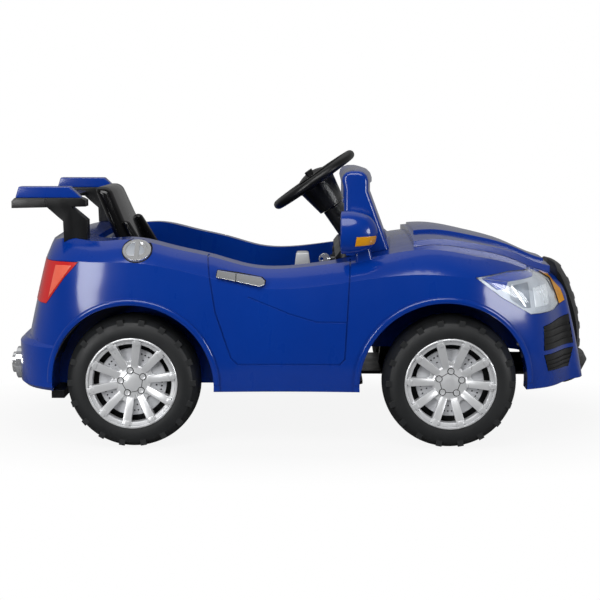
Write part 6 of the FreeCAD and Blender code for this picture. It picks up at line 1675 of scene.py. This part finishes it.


@dataclass
class WheelArches:
    """The rounded bead along the edge of each wheel arch, and a black sheet that makes the inside of the arch
    dark.
    """

    rear: Arch = Arch(
        "rear", middle_x=-317.0 * MM, radius=151.0 * MM, dark_roof_radius=149.6 * MM, dark_roof_low=168.0 * MM,
    )
    # the front dark sheet ends higher up, clear of the steered wheels
    front: Arch = Arch(
        "front", middle_x=258.0 * MM, radius=156.0 * MM, dark_roof_radius=154.6 * MM, dark_roof_low=246.0 * MM,
    )
    middle_z: float = 121.0 * MM
    bead_low: float = 122.0 * MM
    bead_first: float = 1.0 * MM        # where the bead starts, out from the arch's edge
    # widths of its bands, edge by edge, and rises of the edges between them
    bead_bands: tuple[float, ...] = (1.6 * MM, 2.2 * MM, 2.2 * MM, 2.0 * MM, 1.4 * MM)
    bead_rises: tuple[float, ...] = (1.0 * MM, 1.7 * MM, 1.8 * MM, 1.3 * MM)
    bead_thickness: float = 0.3 * MM
    bead_sides: int = 128
    bead_angle: float = 50.0            # degrees; in the shading its edges sharper than this stay sharp
    edge_width: float = 0.4 * MM        # points this near an edge's radius belong to it
    dark_roof_outer: float = 268.0 * MM
    dark_roof_inner: float = 116.0 * MM
    dark_roof_thickness: float = 1.4 * MM
    dark_roof_sides: int = 120

    def make_bead(self, arch: Arch) -> Piece:
        """Draws a ring beside the body, presses it on and raises its inner edges.

        Args:
            arch: the arch that it runs along.

        Returns:
            The right-hand bead.
        """
        middle = Vector((arch.middle_x, -SHEET_OUT, self.middle_z))
        reach = arch.radius + self.bead_first
        bead = new_ring("arch_bead_" + arch.name, reach, middle, self.bead_sides)
        with editing(bead, whole=True):
            for width in self.bead_bands:
                bpy.ops.mesh.extrude_region_move()
                share = (reach + width) / reach
                bpy.ops.transform.resize(value=(share, 1.0, share), center_override=middle)
                reach += width
            cut_below(self.bead_low, fill=False)
        press_on(bead, frame["nodes"]["body_shell"])

        def on_edge(place: Vector) -> bool:
            """Says whether a point lies on the edge that the reach gives."""
            return abs(math.hypot(place.x - middle.x, place.z - middle.z) - reach) < self.edge_width

        with editing(bead):
            reach = arch.radius + self.bead_first
            for width, rise in zip(self.bead_bands, self.bead_rises):
                reach += width
                select_points(bead, on_edge)
                bpy.ops.transform.translate(value=(0.0, -rise, 0.0))
        shaped(bead, "SOLIDIFY", thickness=self.bead_thickness, offset=-1.0)
        turn_outwards(bead)
        smooth(bead, self.bead_angle)
        return bead

    def make_liner(self, arch: Arch) -> Piece:
        """Turns a thin ring and keeps the part that roofs the wheel.

        Args:
            arch: the arch that it lines.

        Returns:
            The right-hand dark sheet.
        """
        name = arch.name + "_liner"
        outer = arch.dark_roof_radius
        inner = outer - self.dark_roof_thickness
        profile = [
            (outer, self.dark_roof_inner), (outer, self.dark_roof_outer), (inner, self.dark_roof_outer),
            (inner, self.dark_roof_inner),
        ]
        dark_roof = turned(name, profile, hollow=True, segments=self.dark_roof_sides)
        dark_roof.location = (arch.middle_x, 0.0, self.middle_z)
        settle(dark_roof, name)
        with editing(dark_roof):
            cut_below(arch.dark_roof_low, fill=True)
        turn_outwards(dark_roof)
        smooth(dark_roof, EDGE_ANGLE)
        return dark_roof

    def build(self) -> None:
        """Builds the beads and dark sheets of all four arches."""
        for arch in (self.rear, self.front):
            both_sides(self.make_bead(arch), "body_paint")
        for arch in (self.rear, self.front):
            both_sides(self.make_liner(arch), "black_plastic")


@dataclass(frozen=True)
class SoftLamp:
    """One soft oval lamp of the studio."""

    name: str
    place: Point
    aim: Point
    size: Pair                  # width and height of the oval
    watts: float

    def hang(self) -> None:
        """Hangs the lamp and turns it to its aim."""
        bpy.ops.object.light_add(type="AREA", location=self.place)
        lamp = bpy.context.object
        lamp.name = self.name
        lamp.data.shape = "ELLIPSE"
        lamp.data.size, lamp.data.size_y = self.size
        lamp.data.energy = self.watts
        lamp.rotation_euler = (Vector(self.aim) - Vector(self.place)).to_track_quat("-Z", "Y").to_euler()


@dataclass
class Studio:
    """A white sweep with soft lamps, and the camera beside the car's right side."""

    floor_size: Pair = (2.1, 1.06)
    floor_cuts: int = 3
    floor_white: float = 0.62
    floor_drift: float = 0.02           # how much darker its patches are
    floor_pitch: float = 3.0            # repeats of the patches in a metre
    floor_span: Pair = (0.3, 0.7)       # noise values over which they show
    floor_roughness: float = 0.9
    floor_mirrored: float = 0.15        # how pale the floor is in reflections
    shadow_share: float = 0.10          # how much of the lit floor shows through its white
    shadow_half: Pair = (0.98, 0.51)    # how far the shadow reaches along and across
    shadow_fade: Pair = (0.6, 1.0)      # shares of that reach over which it fades
    world_level: float = 0.26
    front_level: float = 0.04           # brightness of the unlit room behind the camera
    room_turn: Pair = (-0.55, 0.25)     # y of a direction, from the unlit room to the lit one
    camera_place: Point = (0.0262, -2.6393, 0.6014)
    camera_fall: float = 7.72           # degrees below level
    camera_turn: float = 0.81           # degrees to the car's tail
    camera_focal: float = 78.8
    camera_sensor: float = 36.0
    camera_reach: float = 100.0
    lamps: tuple[SoftLamp, ...] = (
        SoftLamp("overhead_panel", (-0.2, 1.0, 2.7), (0.0, 0.0, 0.2), (4.0, 2.0), 8.0),
        SoftLamp("tail_panel", (-2.05, -2.55, 0.82), (-0.3, -0.3, 0.3), (0.9, 1.7), 36.0),
        SoftLamp("nose_panel", (2.6, -2.0, 0.66), (0.3, 0.0, 0.3), (1.2, 1.1), 30.0),
        SoftLamp("front_panel", (-0.7, -3.1, 3.4), (-0.1, 0.0, 0.25), (4.4, 2.6), 125.0),
    )

    def floor_finish(self) -> bpy.types.Material:
        """Makes the floor's finish: white to the camera, dim in reflections, with a soft shadow.

        Returns:
            The material.
        """
        surface = Surface("studio_white")
        patch = surface.spread(surface.noise(self.floor_pitch), self.floor_span, NONE_TO_ALL)
        level = self.floor_white
        pale = surface.tint(patch, (level,) * 3, (level - self.floor_drift,) * 3)
        glossy = surface.add("LightPath").outputs["Is Glossy Ray"]
        colour = surface.tint(glossy, pale, (self.floor_mirrored,) * 3)
        surface.wire(surface.shader, {"Base Color": colour, "Roughness": self.floor_roughness})
        along, across = self.shadow_half
        place = surface.stretched((1 / along, 1 / across, 0.0))
        reach = surface.add("VectorMath", {0: place}, operation="LENGTH")
        white = surface.spread(reach.outputs["Value"], self.shadow_fade, (1.0 - self.shadow_share, 1.0))
        share = surface.maths("MULTIPLY", white, surface.seen())
        glow = surface.add("Emission").outputs[0]
        mix = surface.add("MixShader", {0: share, 1: surface.shader.outputs[0], 2: glow})
        surface.wire(surface.tree.nodes["Material Output"], {"Surface": mix.outputs[0]})
        return surface.material

    def add_floor(self) -> None:
        """Lays the floor."""
        bpy.ops.object.select_all(action="DESELECT")
        bpy.ops.mesh.primitive_plane_add(size=1.0, location=ORIGIN)
        floor = bpy.context.object
        floor.scale = (*self.floor_size, 1.0)
        with editing(floor, whole=True):
            bpy.ops.mesh.subdivide(number_cuts=self.floor_cuts)
        settle(floor, "studio_floor")
        floor.data.materials.append(self.floor_finish())

    def add_world(self) -> None:
        """Sets the surroundings: white to the camera, pale behind the car and dim behind the camera."""
        world = bpy.data.worlds.new("studio_room")
        bpy.context.scene.world = world
        world.use_nodes = True
        room = ShaderNodes(world.node_tree)
        place = room.add("TexCoord").outputs["Generated"]
        depth = room.add("SeparateXYZ", {0: place}).outputs["Y"]
        levels = (self.front_level, self.world_level)
        level = room.spread(depth, self.room_turn, levels, interpolation_type="SMOOTHSTEP")
        strength = room.maths("MAXIMUM", room.seen(), level)
        room.wire(room.tree.nodes["Background"], {"Color": (1.0, 1.0, 1.0, 1.0), "Strength": strength})

    def add_camera(self) -> None:
        """Sets up the camera at the photograph's viewing angle."""
        bpy.ops.object.camera_add(location=self.camera_place)
        camera = bpy.context.object
        camera.name = "studio_camera"
        camera.rotation_euler = (math.radians(90.0 - self.camera_fall), 0.0, math.radians(self.camera_turn))
        camera.data.lens = self.camera_focal
        camera.data.sensor_width = self.camera_sensor
        camera.data.clip_end = self.camera_reach
        bpy.context.scene.camera = camera

    def build(self) -> None:
        """Sets up the whole studio."""
        bpy.context.scene.view_settings.view_transform = "Standard"
        self.add_floor()
        self.add_world()
        for lamp in self.lamps:
            lamp.hang()
        self.add_camera()
        LOG.info("studio: floor, room, %d lamps and camera", len(self.lamps))


def main() -> None:
    """Builds each sub-assembly, then the studio."""
    logging.basicConfig(level=logging.INFO, format="%(message)s")
    front_axle = 269.0 * MM
    rear_axle = -317.0 * MM
    builders = (
        PlainNodes(), Lamps(), Mirrors(), Seat(), Mouldings(), BodyTrim(), GrilleMesh(), WheelArches(),
        RoadWheel("front_right", front_axle, Side.RIGHT, turn=-3.0),
        RoadWheel("rear_right", rear_axle, Side.RIGHT, turn=10.0),
        RoadWheel("front_left", front_axle, Side.LEFT, turn=14.0),
        RoadWheel("rear_left", rear_axle, Side.LEFT, turn=-8.0),
    )
    for builder in builders:
        builder.build()
    Studio().build()


if __name__ == "__main__":
    main()
